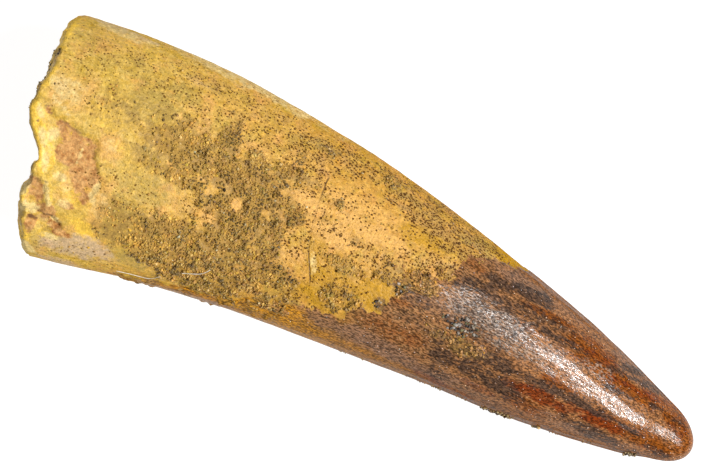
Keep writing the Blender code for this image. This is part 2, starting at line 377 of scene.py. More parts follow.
PAINT_ABOVE: dict[Coat, tuple[Blot, ...]] = {
    Coat.CRUST: CRUST_ABOVE,
    Coat.PEACH: blots(
        (-25, 1.8, 3, 2.4, 0.6), (-23.5, 8.6, 4, 1.2, 0.4), (-14.4, -3.6, 4, 1.6, 0.15),
        (-9.8, -3.5, 1.2, 1.3, 0.5), (-6.5, -3.2, 1.4, 0.7), (-4.3, -0.7, 0.8, 0.8),
        # painted sheen: the two long streaks at (8.5, 5.1) and (9, 3.1)
        (8.5, 5.1, 6.4, 0.8, 0.8), (9, 3.1, 6, 0.9), (2.2, 2.9, 2, 0.9), (-2, 3.4, 2, 0.7, 0.3),
        (-5.5, 5.3, 1.6, 0.7), (6, 1.2, 2.4, 1.4), (2.6, -3, 2, 1, 0.6), (-18.8, -1.6, 1.4, 1.6, 0.8),
        (-17.6, -7, 1.4, 2.6, 0.8, 20), (3.5, 7.4, 3, 0.8, 0.2), (-9, 9, 6, 1.4, 0.3),
    ),
    Coat.YELLOW: blots(
        # the first blot, on the corner of the broken end's rim, is partly painted light against the shade
        # of its rounding
        (-28.8, 7.4, 1, 2.4), (5, -0.8, 1.5, 1, 0.6), (14.4, 5, 3, 1, 0.9),
        (-20.4, 1.2, 2.2, 1.3, 0.55), (-21.2, 4.4, 2, 1.2, 0.4), (-27.8, 1.6, 0.6, 1.8),
        (-24.2, -5.2, 0.9, 1.9, 1, 28), (12.8, -2.4, 1.9, 1.6), (8.4, -3.4, 3.2, 1.4, 0.7),
        (5.5, -2.6, 1.2, 0.7, 1, -60), (8, -5.4, 3.4, 1.2, 0.8), (3.6, -6.2, 3.2, 0.7, 0.6),
        (23.8, 7.3, 2.8, 0.6), (-25.2, -10, 0.9, 2), (-23.2, -13.6, 1, 0.9), (-16.5, -1, 2.2, 1, 0.5),
        (-17.8, -10.2, 2.2, 0.7, 0.7, -20), (-26.8, -2.2, 2.4, 0.8, 1, -50),
        (-24.6, -5.6, 2.4, 0.7, 1, -58), (-22.5, -8.6, 1.8, 0.6, 0.9, -56), (-14.6, -3, 3.4, 1.6, 0.3),
        (-20.5, -12.5, 1.6, 0.4, 0.8, 8), (19, 5.6, 2.6, 0.8, 0.5), (-20, 9.3, 4, 0.8, 0.4),
        (-19, -7.8, 1.8, 1.2, 0.6),
    ),
    Coat.OLIVE: blots(
        (-18.6, 3.4, 2.6, 2, 0.6), (-13.6, -3.4, 4.4, 1.8, 0.75), (-14.2, -7.6, 2.6, 2.8, 0.8),
        (-12, -10.8, 3, 1, 0.8), (-16.8, 4.6, 3.4, 1.8, 0.8), (-19, 6.8, 3.2, 1, 0.5),
        (-14.6, 7, 2, 1.1, 0.7), (-21, 1, 2.2, 1, 0.6), (-26.5, 7.6, 1.8, 0.9, 0.5),
        (-24.6, 3.9, 2, 1, 0.3), (-15, -0.6, 3, 1.5, 0.7), (3, -7.2, 3.4, 1, 0.5),
        (-3, -10.4, 7, 1, 0.6), (-9, 4.6, 2.4, 2.6, 0.5), (21, 7.2, 2.4, 0.8, 0.6),
        (9.6, 8.7, 2.2, 0.9, 0.5), (1.4, 8.9, 1.8, 0.8, 0.6), (-20.6, 7.9, 1.4, 0.5, 0.6),
        (-27.2, -3, 0.8, 0.8, 0.4), (-19, 1, 1.4, 1, 0.4), (-23, 7, 1.6, 1.2, 0.4),
        (-25.6, -7.3, 0.6, 1.1, 0.8),
    ),
    Coat.CREAM: blots(
        # painted light: the strips at (-23, 9.9) and (-8, 11.6) are rim light along the top edge, and
        # those at (-28.7, 1.6), (-25.1, -9.4), (-23.5, -10.8) and (-22.8, -14.8) partly brighten the
        # broken end's rim against its shade
        (-26.7, -1.6, 1.2, 0.5, 0.7, -50), (-25.4, -3.6, 1.4, 0.5, 0.8, -55),
        (-24.1, -5.8, 1.5, 0.4, 0.8, -60), (-22.5, -8.6, 1.5, 0.35, 0.8, -58),
        (-23.5, -10.8, 1.3, 0.7, 0.9), (-20.5, -10.8, 0.5, 0.3), (-20.3, -12.5, 1.4, 0.35, 0.9, 8),
        (-24.7, -2.9, 0.6, 0.8, 0.9), (-24.2, -4.2, 0.7, 1, 0.45, 20), (-25.1, -9.4, 0.7, 1.5, 0.75),
        (-21.1, -3.6, 0.2, 1, 0.9), (-22, -6.5, 0.9, 0.5, 0.7), (-18.8, -1.3, 1, 0.8, 0.4),
        (-18.1, -6.4, 0.4, 1.3, 0.7), (-17.2, -7.4, 1.2, 1.6, 0.4), (-25.2, 0.1, 2, 0.3, 0.6, -20),
        (-20.6, -8.8, 1.2, 0.6, 0.5), (-25.4, 2, 2.4, 1.8, 0.55), (-23, 9.9, 3.6, 0.5, 0.6, 5),
        (-28.7, 1.6, 0.7, 3, 0.6), (-22.8, -14.8, 1.6, 0.6, 0.9), (-8, 11.6, 17, 1.1, 0.56),
        (-9, 3.2, 5, 0.3, 0.4), (-21.3, -11.4, 1.2, 0.8, 0.4), (-5, -11.3, 3.4, 0.4, 0.5),
        (-20.8, -7.2, 0.9, 0.8, 0.4), (5.5, -2.5, 1.2, 0.5, 0.6, -60),
    ),
    Coat.MATRIX: blots(
        (-21.2, -3.7, 2.1, 2), (-23.6, -1.8, 1.6, 0.6, 0.8, -15), (-19.6, -5.4, 1.2, 1.9, 0.9),
        (-18.7, -7.4, 0.7, 0.8, 0.7), (-24.3, -8.2, 1.2, 0.7, 0.8), (-23.4, -9.2, 1.2, 0.8, 1, -50),
        (-21.8, -10.5, 1.2, 0.9), (-19.6, -11.7, 1.4, 0.5), (-20, -8.9, 0.9, 0.4, 0.8),
        (-22.6, -12.4, 0.7, 0.9, 0.9), (-26.2, -0.8, 0.6, 0.3, 0.8, -35),
    ),
    Coat.GREY: blots(
        # along the root's top and bottom edges these are painted pale reflections and rim light; the last
        # four, on the crown, are painted glints; the rest are grey patches
        (-17.2, -12.2, 3.8, 1.1, 1, 12), (-21, -13.9, 2.4, 0.7, 0.25, 14),
        (-23, 10.2, 3.6, 0.3, 0.7, 5), (-26, 2.1, 0.8, 0.5, 0.5), (-16, -11.3, 1.6, 0.7, 0.7),
        (-25.5, -7, 0.5, 0.6, 0.8), (-14, 8.9, 2, 0.3, 0.3), (-10, 11.6, 15, 0.9, 0.48),
        (-5, -11.7, 6, 0.4, 0.4, 9), (-18.6, -14.6, 2.4, 0.4, 0.7, 12), (24.6, 0.9, 5.6, 1.5, 0.52),
        (31, 0.4, 4, 1.1, 0.35), (37, 1.1, 2.4, 0.7, 0.4), (28.6, -0.8, 4.2, 0.8, 0.52),
    ),
    Coat.SPECKS: blots(
        (4, 8.9, 9, 1.2, 1), (18.2, 6.6, 4.8, 1.9, 1.4), (0.6, 7.2, 3.4, 1.4, 0.95),
        (14, 7.9, 5, 1.6, 1.2), (-6, 7.4, 8, 3.8, 0.7), (8.2, -2.4, 4, 4.2, 0.45),
        (2.2, -1, 2.8, 2.6, 0.65), (4.4, 1.6, 2.8, 1.8, 0.75), (12.6, 1, 2.6, 1.6, 0.8),
        (9, 1.4, 2, 1.2, 0.6), (16, 2.6, 3.6, 2.2, 0.9), (18.9, 3.2, 1.4, 1.2, 1.5),
        (1, 4.6, 2.6, 1.2, 0.95), (-14, 8, 8, 3.2, 0.58), (-20.5, 8, 2.2, 0.8, 0.9),
        (-24, 6, 4.6, 3.4, 0.5), (-17, 6.4, 3.4, 1.2, 0.75), (-15, -5, 5, 3, 0.5),
        (-16, -13, 5, 1.2, 0.45), (-24, 3, 4.4, 3, 0.4), (-12.2, 9.6, 2.6, 0.7, 0.85),
        (-1.5, 8.2, 2.4, 1, 0.9), (-22, -13.5, 2.6, 1.4, 0.3), (-6.8, -3, 3.4, 1.4, 0.7),
        (-0.2, 5.6, 1.2, 1.6, 0.85), (9, 4.8, 6, 2.4, 0.35), (-18, 0, 4, 5, 0.25),
        (-4, 10.6, 14, 0.8, 0.2), (4, -6.4, 4, 1, 0.9), (-2, -10.2, 8, 1.2, 0.6),
    ),
    Coat.DARK: blots(
        (29.5, 3.3, 4.5, 0.8, 0.6), (24, 4.6, 2.2, 0.8), (27.6, 5, 2.6, 0.7), (36, -2.8, 5.8, 0.5),
        (29.5, -5, 2.2, 0.9), (22, -5, 2, 1, 0.8), (25.6, -4.7, 2.2, 0.9, 0.8),
        (24, -3.2, 3.4, 1, 0.85), (27.6, -3, 3.2, 0.7, 0.8), (40.4, 0.1, 1.8, 0.3, 0.9),
        (42.4, 2, 4, 0.4, 0.9), (43.6, -2.9, 1.6, 0.3), (32, 2.2, 3.4, 0.4), (25, 2.8, 2.8, 0.7, 0.7),
        (40.2, -4.9, 3.4, 0.6, 0.85), (45.2, -5, 1.8, 0.5, 0.6), (17, -3.1, 2.2, 0.9, 0.4),
        (31, -3, 1.8, 0.7, 0.7), (47.2, -3.6, 1.5, 0.4, 0.7), (21.8, 3.2, 2.4, 0.8, 0.8),
        (40.6, 2.7, 1.6, 0.4, 0.9), (24.5, -1.3, 3.4, 1, 0.5), (25, 0.9, 4.6, 1.5, 0.75),
        (14.8, -0.6, 0.8, 0.8, 0.8), (20.2, 2.4, 1, 0.5, 0.8), (34.6, -3, 2, 0.4),
        (44.9, 0.4, 0.9, 0.3, 0.8), (22.4, -6.7, 1.6, 0.7, 0.6), (22.6, -1.3, 2.3, 0.9, 0.65),
        (20.9, -3.4, 1.5, 1, 0.6), (16.8, -1, 2, 0.7, 0.5), (13.6, -3.1, 0.8, 0.7, 0.8),
        # the blots at negative X lie on the broken end: dark pebbles, and painted shadow along its
        # ledges, chip edges and crevices
        (47.6, 0.1, 0.9, 0.25, 0.7), (-22.7, -11.8, 0.6, 0.2, 0.9), (-23.6, -8.9, 1.9, 0.8, 0.25, -50),
        (-22.6, -12.6, 0.5, 0.8, 0.25), (-25.2, -7.2, 0.6, 0.9, 0.4), (-28.6, 5, 0.9, 0.35, 0.6),
        (-26.2, -0.7, 1.3, 0.2, 0.55, -36), (-22.6, -1.4, 2.4, 0.2, 0.5, -6),
        (-26.7, -2.3, 0.3, 0.15, 0.8), (-21.2, -10.6, 0.5, 0.2, 0.6), (-21.1, -12.1, 1.2, 0.2, 0.5, 4),
        (-23.4, -7.7, 0.7, 0.2, 0.6, 10),
    ),
    Coat.ORANGE: blots(
        (35.6, 2.8, 3.4, 0.9), (43, 0.9, 5.2, 0.8), (38, 1.4, 4.2, 0.7), (34, -2.1, 2.4, 0.5),
        (47.4, 0.3, 1.8, 0.8), (46, -3, 2.8, 0.9), (16.6, -5, 3.8, 1.2, 0.45),
        (32, -5.5, 2.4, 0.8, 0.7), (30.6, 3.9, 3.4, 0.4, 0.9), (41, -3.2, 4, 0.9, 0.8),
        (21, 5, 1.6, 0.6, 0.5), (28.5, 1.8, 3, 0.5, 0.6), (49.2, -1.6, 1, 1.8, 0.7),
        (14.5, -1.8, 2, 0.8, 0.5), (-3, -11, 7, 0.6, 0.3, 9),
    ),
    Coat.RED: blots(
        (33, -4, 3.2, 0.7), (39.4, -3.6, 3.6, 0.6), (30.8, -4.4, 1.6, 0.5), (41.8, 1.1, 3.2, 0.4, 0.6),
        (37, 2.4, 2.4, 0.5, 0.5), (18, -5.2, 2.4, 0.8, 0.2), (23.4, -7.7, 3, 0.4, 0.5),
        (27, -6.2, 2.4, 0.4, 0.4), (48, -0.6, 1.2, 0.5, 0.4),
    ),
    Coat.VIOLET: blots(
        # mostly painted reflection: lavender bands along the crown's edges
        (9.6, -7.3, 4.6, 0.8), (16, -6.9, 4.8, 0.8, 0.9), (22, -7.1, 3.4, 0.7, 0.8),
        (26, 5.6, 3.6, 0.7, 0.8), (26.6, 6.7, 3.4, 0.5, 0.2, -8), (31.6, 5.2, 3, 0.6, 0.35),
        (39.4, 3.3, 3.4, 0.6, 0.6), (28, -7, 4, 0.5, 0.5), (36.5, -5.4, 4, 0.5, 0.5),
        (43.5, 2.5, 3, 0.4, 0.5), (3.4, -8.3, 3, 0.4, 0.6), (19.5, 0, 2.4, 1.4, 0.5),
        (24, 3, 3, 0.8, 0.4),
    ),
}
PAINT_BELOW: dict[Coat, tuple[Blot, ...]] = {
    Coat.CRUST: blots(
        (-17.5, -8.8, 5.5, 3), (-21, 5, 4, 3.2, 0.8), (-6, 8, 4.6, 1.7, 0.8), (16, 5.2, 3.2, 1.4, 0.6),
        (12.5, -6.6, 4.4, 1.4, 0.7), (29, -3.4, 2.2, 1.4, 0.5), (-8, -10, 6, 1.6, 0.7),
    ),
    Coat.PEACH: blots(
        (-12, 0, 7, 3), (3, 3, 6, 2, 0.8), (-24, -1, 2.6, 3, 0.8), (2, -4, 6, 1.6, 0.8),
        (11, 1, 3.6, 1.6, 0.7),
    ),
    Coat.YELLOW: blots(
        (-23, 8.6, 4, 1.4), (-3, -7.6, 6, 1.2, 0.8), (8, 7, 4.6, 1.2, 0.8), (-27, 3, 1.6, 2.4),
        (-23.6, -11, 1.6, 2.2, 0.9),
    ),
    Coat.OLIVE: blots(
        (-15, -6.4, 7, 3.4, 0.8), (-20, 3.4, 5.4, 3.4, 0.8), (-7, 6.6, 6, 2.4, 0.7), (10, 5, 5, 2, 0.6),
    ),
    Coat.CREAM: blots(
        (-27.2, 6.6, 1.2, 1.6, 0.9), (-24, 3.4, 0.8, 2.2, 0.8), (-20, -11.6, 1.6, 0.6, 0.9),
    ),
    Coat.MATRIX: blots((-25.5, 4, 2.2, 2.4, 0.9), (-21.6, -9, 1.8, 2.2, 0.9)),
    # painted pale reflections along the root's two edges
    Coat.GREY: blots((-12, -11.6, 7, 1, 0.7), (-14, 10, 7, 1, 0.5)),
    Coat.SPECKS: blots(
        (-12, 3, 14, 9, 0.45), (6, 6, 9, 4, 0.75), (6, -3, 8, 4, 0.6), (-20, -6, 6, 6, 0.5),
    ),
    Coat.DARK: blots(
        (26, 2, 6, 0.9), (34, -3, 6, 0.7), (24, -5.6, 4, 0.9, 0.8), (42, -0.8, 4, 0.5, 0.9),
        (31, 0.2, 4, 0.5, 0.7), (20, -2.6, 3.6, 0.8, 0.7),
    ),
    Coat.ORANGE: blots(
        (33, 1.6, 6, 1), (43, 0.8, 5, 0.8), (44, -2.6, 4, 0.9), (24, -1, 5, 1, 0.8),
        (14, -7.6, 6, 1, 0.7), (38, -1.2, 4, 0.6, 0.7),
    ),
    Coat.RED: blots((37, -2, 5, 0.6, 0.8), (28, 3.6, 4, 0.6, 0.5)),
    # painted reflection along the crown's edges
    Coat.VIOLET: blots((20, -7, 8, 0.9, 0.7), (30, 4.6, 6, 0.8, 0.6)),
}


@dataclass(frozen=True)
class Chip:
    """A place where the outer layer has flaked off: a patch and how deep it is."""

    patch: Blot
    depth: float


CHIPS_ABOVE = (
    Chip(Blot(-21.9, -3.9, 2.9, 2.6), 0.45),
    Chip(Blot(-24.4, -2.2, 2.4, 1, 1, -24), 0.45),
    Chip(Blot(-19.8, -6, 1.6, 2), 0.3),
    Chip(Blot(-23.9, -9.2, 2.6, 1.2, 1, -55), 0.4),
    Chip(Blot(-22.2, -11.6, 2.2, 0.8), 0.5),
    Chip(Blot(-22.7, -12, 0.5, 0.4), 0.4),
    Chip(Blot(-28.6, 4.9, 0.6, 0.35), 0.35),
    Chip(Blot(-26.5, -2.3, 0.35, 0.3), 0.35),
)
CHIPS_BELOW = (
    Chip(Blot(-25.5, 4, 2.4, 2.6), 0.7),
    Chip(Blot(-21.6, -9, 2, 2.4), 0.6),
)


@dataclass(frozen=True)
class EnamelBorder:
    """The ragged line where the crown's enamel ends, seen from above, from low X to high X."""

    points: tuple[tuple[float, float], ...]

    def inside(self, x: np.ndarray, y: np.ndarray) -> np.ndarray:
        """Distance into the enamel from its border, negative out on the root.

        Args:
            x: the places' X.
            y: the places' Y.

        Returns:
            One distance for each place.
        """
        xs, ys = np.array(self.points).T
        nearest = np.full(x.shape, np.inf)
        for i in range(len(xs) - 1):
            run_x, run_y = xs[i + 1] - xs[i], ys[i + 1] - ys[i]
            t = ((x - xs[i]) * run_x + (y - ys[i]) * run_y) / (run_x**2 + run_y**2)
            t = np.clip(t, 0, 1)
            nearest = np.minimum(nearest, np.hypot(x - xs[i] - t * run_x, y - ys[i] - t * run_y))
        below_line = (y < np.interp(x, xs, ys)) & (x > xs[0])
        return np.where(below_line, nearest, -nearest)


BORDER_ABOVE = EnamelBorder((
    (-16, -14.3), (-9, -12), (-4, -10.6), (0, -9.5), (4, -7.9), (7, -6.8), (9.5, -6.4),
    (10.7, -6.2), (11, -5.5), (11.8, -4.5), (14, -4), (14.3, -3), (14.35, -1), (14.4, 0.2),
    (15.6, 1.6), (17.8, 2), (19, 2.4), (19.5, 4.2), (19.7, 5.5), (21.5, 6), (23.3, 6.8),
    (26.2, 7.1), (27, 9),
))
BORDER_BELOW = EnamelBorder((
    (-16, -14.3), (-6, -11.6), (2, -9.4), (5, -7.4), (9, -7), (11, -4.9), (14.2, -3.4),
    (15, -1), (18.4, 0.2), (19.4, 2.8), (22, 4.4), (24.6, 6.2), (26.4, 7.6), (27, 9),
))

CRACK = SmoothLine((
    (-4.9, 6.3), (-4.2, 6), (-3, 5.3), (-1.8, 4.6), (-0.5, 4.1), (1, 3.6), (2.5, 3.3),
    (4.3, 3), (5.5, 2.9), (7.2, 2.8),
))


@dataclass
class ToothSkin:
    """The whole surface of the tooth: crown, root and broken end, sculpted and painted."""

    form: ToothForm
    around: int = 300
    along: int = 290
    across: int = 38
    enamel_step: float = 0.1
    enamel_step_width: float = 0.35
    crust_film: float = 0.12
    crust_grain: float = 0.32
    flutes_around: int = 22
    flute_depth: float = 0.008
    wrinkle_height: float = 0.035
    ripple_height: float = 0.1
    grain_height: float = 0.03
    matrix_grain: float = 0.16
    sculpted_up_to: float = 50.4
    keel_height: float = 0.16
    keel_width: float = 0.13
    points: np.ndarray = field(default_factory=lambda: np.zeros((0, 3)))
    normals: np.ndarray = field(default_factory=lambda: np.zeros((0, 3)))
    paint: dict[str, np.ndarray] = field(default_factory=dict)

    def build(self) -> bpy.types.Object:
        """Makes the skin's mesh, its relief and its painted attributes.

        Returns:
            The finished object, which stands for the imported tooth.
        """
        mesh = self.ball()
        base, share = self.lay_out(mesh)
        self.paint = self.paint_at(base, share)
        self.points = base + self.normals * self.relief(base, share)[:, None]
        self.points[:, 2] = np.maximum(self.points[:, 2], 0.0)
        self.write(mesh, self.points)
        for name, values in self.paint.items():
            layer = mesh.attributes.new(name, "FLOAT", "POINT")
            layer.data.foreach_set("value", values.astype(np.float32))
        return put_in_scene("tooth_skin", mesh)

    def ball(self) -> bpy.types.Mesh:
        """A ball whose poles will be the tip and the middle of the break, shaded smooth.

        Returns:
            The ball's mesh, of radius 1.
        """
        ball = bmesh.new()
        bmesh.ops.create_uvsphere(
            ball, u_segments=self.around, v_segments=self.along + self.across, radius=1.0
        )
        bmesh.ops.recalc_face_normals(ball, faces=ball.faces[:])
        mesh = bpy.data.meshes.new("tooth_skin")
        ball.to_mesh(mesh)
        ball.free()
        mesh.shade_smooth()
        return mesh

    def lay_out(self, mesh: bpy.types.Mesh) -> tuple[np.ndarray, np.ndarray]:
        """Lays the ball's rings along the plain form of the tooth.

        Args:
            mesh: the ball, which takes the plain form so that its normals can be read.

        Returns:
            The points of the plain form, and for each how far out it is from the middle of the
            broken face, 1 at its rim and everywhere on the side.
        """
        co = np.empty(len(mesh.vertices) * 3)
        mesh.vertices.foreach_get("co", co)
        co = co.reshape(-1, 3)
        rings = self.along + self.across
        ring = np.round(np.arccos(np.clip(co[:, 2], -1, 1)) / math.pi * rings)
        angle = np.arctan2(co[:, 1], co[:, 0])
        rim = self.form.rim(angle)
        side = self.form.side(np.minimum(ring / self.along, 1.0), angle, rim)
        share = np.minimum((rings - ring) / self.across, 1.0)
        end = self.form.broken_end(share, rim)
        base = np.where((ring <= self.along)[:, None], side, end)
        share = np.where(ring <= self.along, 1.0, share)
        self.write(mesh, base)
        normals = np.empty(len(mesh.vertices) * 3)
        mesh.vertex_normals.foreach_get("vector", normals)
        self.normals = normals.reshape(-1, 3)
        return base, share

    def write(self, mesh: bpy.types.Mesh, points: np.ndarray) -> None:
        """Moves the mesh's vertices to these points, given in millimetres."""
        mesh.vertices.foreach_set("co", (points * MM).ravel())
        mesh.update()

    def upper(self, base: np.ndarray) -> np.ndarray:
        """1 on the upper side of the tooth, 0 underneath, and in between along its edges."""
        middle_z = self.form.section(base[:, 0])[1]
        return fade(middle_z - 1.5, middle_z + 0.5, base[:, 2])

    def wander(self, base: np.ndarray) -> np.ndarray:
        """How far patches' borders stray at each place, in shares of the patches' sizes."""
        return 0.45 * lumps(base, 2.0) + 0.2 * lumps(base + 40, 0.8, 3)

    def paint_at(self, base: np.ndarray, share: np.ndarray) -> dict[str, np.ndarray]:
        """How strongly each coat lies at each point, and the distances to lines on the surface.

        Args:
            base: points of the plain form.
            share: 1 on the side and at the rim, falling to 0 at the middle of the broken face.

        Returns:
            One array of values for each attribute that the skin's material reads.
        """
        x, y = base[:, 0], base[:, 1]
        upper = self.upper(base)
        on_side = fade(0.8, 0.93, share)
        wander = self.wander(base)
        paint = {}
        for coat in Coat:
            above = self.covered(PAINT_ABOVE[coat], x, y, wander)
            below = self.covered(PAINT_BELOW[coat], x, y, wander)
            if coat is Coat.CRUST:
                above *= 1 - self.covered(CRUST_WINDOWS, x, y, wander)
            paint[coat.value] = on_side * (upper * above + (1 - upper) * below)
        patchy = 1 + 1.5 * lumps(base + 30, 1.3) + 0.9 * lumps(base + 50, 0.45, 2)
        paint["silt"] = np.minimum(1.25 * paint[Coat.CRUST.value], 1.0)
        paint[Coat.CRUST.value] = fade(0.2, 0.7, paint[Coat.CRUST.value] * patchy)
        paint["keel"], paint["edge_wear"] = self.keel_at(base)
        ragged = 0.35 * lumps(base + 80, 1.1)
        border = upper * BORDER_ABOVE.inside(x, y) + (1 - upper) * BORDER_BELOW.inside(x, y)
        paint["enamel"] = np.where(share > 0.99, border + ragged, -5.0)
        paint["crack"] = x - CRACK.at(y) + 0.08 * lumps(base + 20, 0.7, 2)
        healed = fade(-1.8, -0.8, y) * fade(4.6, 3.6, y)
        paint["crack_on"] = upper * fade(6.6, 6.0, y) * fade(-5.0, -4.2, y) * (1 - 0.75 * healed)
        wall = fade(self.form.pulp_share - 0.06, self.form.pulp_share + 0.06, share + 0.05 * wander)
        end = 1 - on_side
        paint["end_wall"] = end * wall
        paint[Coat.MATRIX.value] += end * (1 - wall)
        return paint

    def keel_at(self, base: np.ndarray) -> tuple[np.ndarray, np.ndarray]:
        """How near each place is to the side lines of the tooth, where its sections are widest.

        Args:
            base: points of the plain form.

        Returns:
            Two arrays, 1 on the side lines and fading out above and below: one narrow, for the painted
            shade along them, and one wider, for their wear.
        """
        _, middle_z, _, half_thickness = self.form.section(base[:, 0])
        up = np.abs(base[:, 2] - middle_z) / np.maximum(half_thickness, 0.1)
        reach = 0.62 - 0.1 * fade(12, 22, base[:, 0])
        return fade(reach, 0.65 * reach, up), fade(0.85, 0.35, up)

    def covered(
        self, patches: tuple[Blot, ...], x: np.ndarray, y: np.ndarray, wander: np.ndarray
    ) -> np.ndarray:
        """How fully any of the patches covers each place."""
        return np.max([patch.cover(x, y, wander) for patch in patches], axis=0)

    def relief(self, base: np.ndarray, share: np.ndarray) -> np.ndarray:
        """Height of the real surface over the plain form, in millimetres.

        Args:
            base: points of the plain form.
            share: 1 on the side and at the rim, falling to 0 at the middle of the broken face.

        Returns:
            One height for each point, along its normal.
        """
        x, y, z = base.T
        upper = self.upper(base)
        enamel = fade(0, self.enamel_step_width, self.paint["enamel"])
        crust = self.paint[Coat.CRUST.value]
        matrix = self.paint[Coat.MATRIX.value]
        middle_y, middle_z, half_width, half_thickness = self.form.section(x)
        across = (y - middle_y) / np.maximum(half_width, 0.1)
        up = (z - middle_z) / np.maximum(half_thickness, 0.1)
        wander = self.wander(base)
        chips = np.zeros_like(x)
        for part, rows in ((upper, CHIPS_ABOVE), (1 - upper, CHIPS_BELOW)):
            cuts = [chip.depth * fade(0.25, 0.6, chip.patch.cover(x, y, wander)) for chip in rows]
            chips += part * np.max(cuts, axis=0)
        on_side = fade(0.9, 1.0, share)
        flutes = self.flute_depth * np.cos(self.flutes_around * np.arctan2(up, across))
        flutes *= fade(12, 24, x) * fade(0.5, 5.0, half_width)
        keels = self.keel_height * np.exp(-((up / self.keel_width) ** 2)) * fade(-6, 10, x)
        wrinkles = self.wrinkle_height * lumps(base, 0.9, 3, stretch=3.0)
        wrinkles *= 1 - 0.5 * fade(36, 46, x)
        ripples = self.ripple_height * lumps(base + 11, 2.2, 4, stretch=5.0)
        ripples += self.grain_height * lumps(base, 0.9, 2)
        granular = lumps(base + 5, 0.8, 3)
        tip = fade(self.sculpted_up_to, 47, x)
        smooth = enamel * (self.enamel_step + tip * (flutes + keels + wrinkles))
        bare = (1 - enamel) * (ripples + keels)
        thick = 0.3 + 0.7 * fade(*CRUST_THINS, x)
        film = crust * (self.crust_film + self.crust_grain * granular) * thick
        broken = self.matrix_grain * granular * np.maximum(matrix, 1 - on_side)
        return on_side * (smooth + bare + film - chips) + broken


class Graph:
    """The node tree of one material, which reads Object coordinates and painted attributes."""

    # noise keeps mostly within this distance of its middle value, 0.5
    noise_spread = 0.2

    def __init__(self, name: str, painted: tuple[str, ...] = ()) -> None:
        """Starts a material with only its Principled shader and output.

        Args:
            name: the material's name, which says what the real one is.
            painted: the names of the mesh's painted attributes that it reads.
        """
        self.material = bpy.data.materials.new(name)
        self.material.use_nodes = True
        self.tree = self.material.node_tree
        self.shader = self.tree.nodes["Principled BSDF"]
        self.place = self.add("TexCoord", output="Object")
        self.painted = {
            layer: self.add("Attribute", output="Fac", attribute_name=layer) for layer in painted
        }

    def add(
        self,
        kind: str,
        inputs: dict[str | int, Source] | None = None,
        output: str | int = 0,
        **settings: str | float,
    ) -> Socket:
        """Adds a node, sets its settings and sockets, and links the sockets given as outputs.

        Args:
            kind: the node's type, without its ShaderNode prefix.
            inputs: hex colours, values or other nodes' outputs, by the socket's name or number.
            output: the name or number of the output that is wanted.
            **settings: the node's own settings.

        Returns:
            The wanted output socket.
        """
        node = self.tree.nodes.new("ShaderNode" + kind)
        for name, value in settings.items():
            setattr(node, name, value)
        for key, value in (inputs or {}).items():
            self.join(node.inputs[key], value)
        return node.outputs[output]

    def join(self, socket: Socket, value: Source) -> None:
        """Links an output to the socket, or sets the socket to a value or a hex colour.

        Args:
            socket: the input that is filled.
            value: the output, value or hex colour.
        """
        if isinstance(value, Socket):
            self.tree.links.new(value, socket)
        else:
            socket.default_value = linear(value) if isinstance(value, str) else value

    def pattern(
        self,
        size: float,
        detail: float = 4.0,
        stretch: float = 1.0,
        shift: float = 0.0,
        contrast: float = 1.0,
    ) -> Socket:
        """Clouds whose values spread over 0 to 1.

        Args:
            size: how far apart the largest clouds are, in millimetres.
            detail: how many finer sizes are added.
            stretch: how many times longer the clouds are along the tooth than across it.
            shift: how far the pattern is moved, to part it from another of the same size.
            contrast: how many times steeper the clouds' edges are than plain.

        Returns:
            The output with the clouds' values.
        """
        move = {"Vector": self.place, "Location": (shift,) * 3, "Scale": (1 / stretch, 1.0, 1.0)}
        where = self.add("Mapping", move)
        noise_inputs = {"Vector": where, "Scale": 1 / (size * MM), "Detail": detail, "Roughness": 0.62}
        clouds = self.add("TexNoise", noise_inputs)
        half = self.noise_spread / contrast
        return self.add("MapRange", {"Value": clouds, "From Min": 0.5 - half, "From Max": 0.5 + half})

    def along(self, start: float, end: float, low: float = 0.0, high: float = 1.0) -> Socket:
        """A value that passes from low to high between two places along the tooth.

        Args:
            start: X of the place where it is low, in millimetres.
            end: X of the place where it is high, in millimetres.
            low: the value at the start and before it.
            high: the value at the end and beyond it.

        Returns:
            The output with the value.
        """
        x = self.add("SeparateXYZ", {0: self.place})
        span = {"Value": x, "From Min": start * MM, "From Max": end * MM, "To Min": low, "To Max": high}
        return self.add("MapRange", span)

    def coat(
        self,
        under: Source,
        colour: Source,
        name: str,
        breakup: Socket,
        ragged: float = 0.6,
        soft: float = 0.3,
        cover: float = 1.0,
    ) -> Socket:
        """Lays a painted coat over a colour, its border broken up by a pattern.

        Args:
            under: the colour beneath.
            colour: the coat's colour, hex or an output.
            name: the painted attribute that says where the coat lies.
            breakup: a pattern from 0 to 1 that thins and thickens the coat.
            ragged: how strongly the pattern breaks it up, from 0 to 1.
            soft: how gradual the coat's border is, from 0 to 0.5.
            cover: how opaque the coat is at its thickest.

        Returns:
            The colour with the coat on it.
        """
        weight = self.add("MapRange", {"Value": breakup, "To Min": 1 - ragged, "To Max": 1 + ragged})
        lies = self.add("Math", {0: self.painted[name], 1: weight}, operation="MULTIPLY")
        border = {"Value": lies, "From Min": 0.5 - soft, "From Max": 0.5 + soft, "To Max": cover}
        lies = self.add("MapRange", border, interpolation_type="SMOOTHSTEP")
        return self.add("Mix", {0: lies, 6: under, 7: colour}, **OF_COLOURS)

    def shaded(self, colour: Source, pattern: Socket, low: float, high: float) -> Socket:
        """The colour, darker by low where the pattern is 0 and lighter by high where it is 1.

        Args:
            colour: the colour beneath.
            pattern: a pattern from 0 to 1.
            low: what the colour is multiplied by where the pattern is 0.
            high: what it is multiplied by where the pattern is 1.

        Returns:
            The shaded colour.
        """
        factor = self.add("MapRange", {"Value": pattern, "To Min": low, "To Max": high})
        both = {0: 1.0, 6: colour, 7: factor}
        return self.add("Mix", both, **OF_COLOURS, blend_type="MULTIPLY")


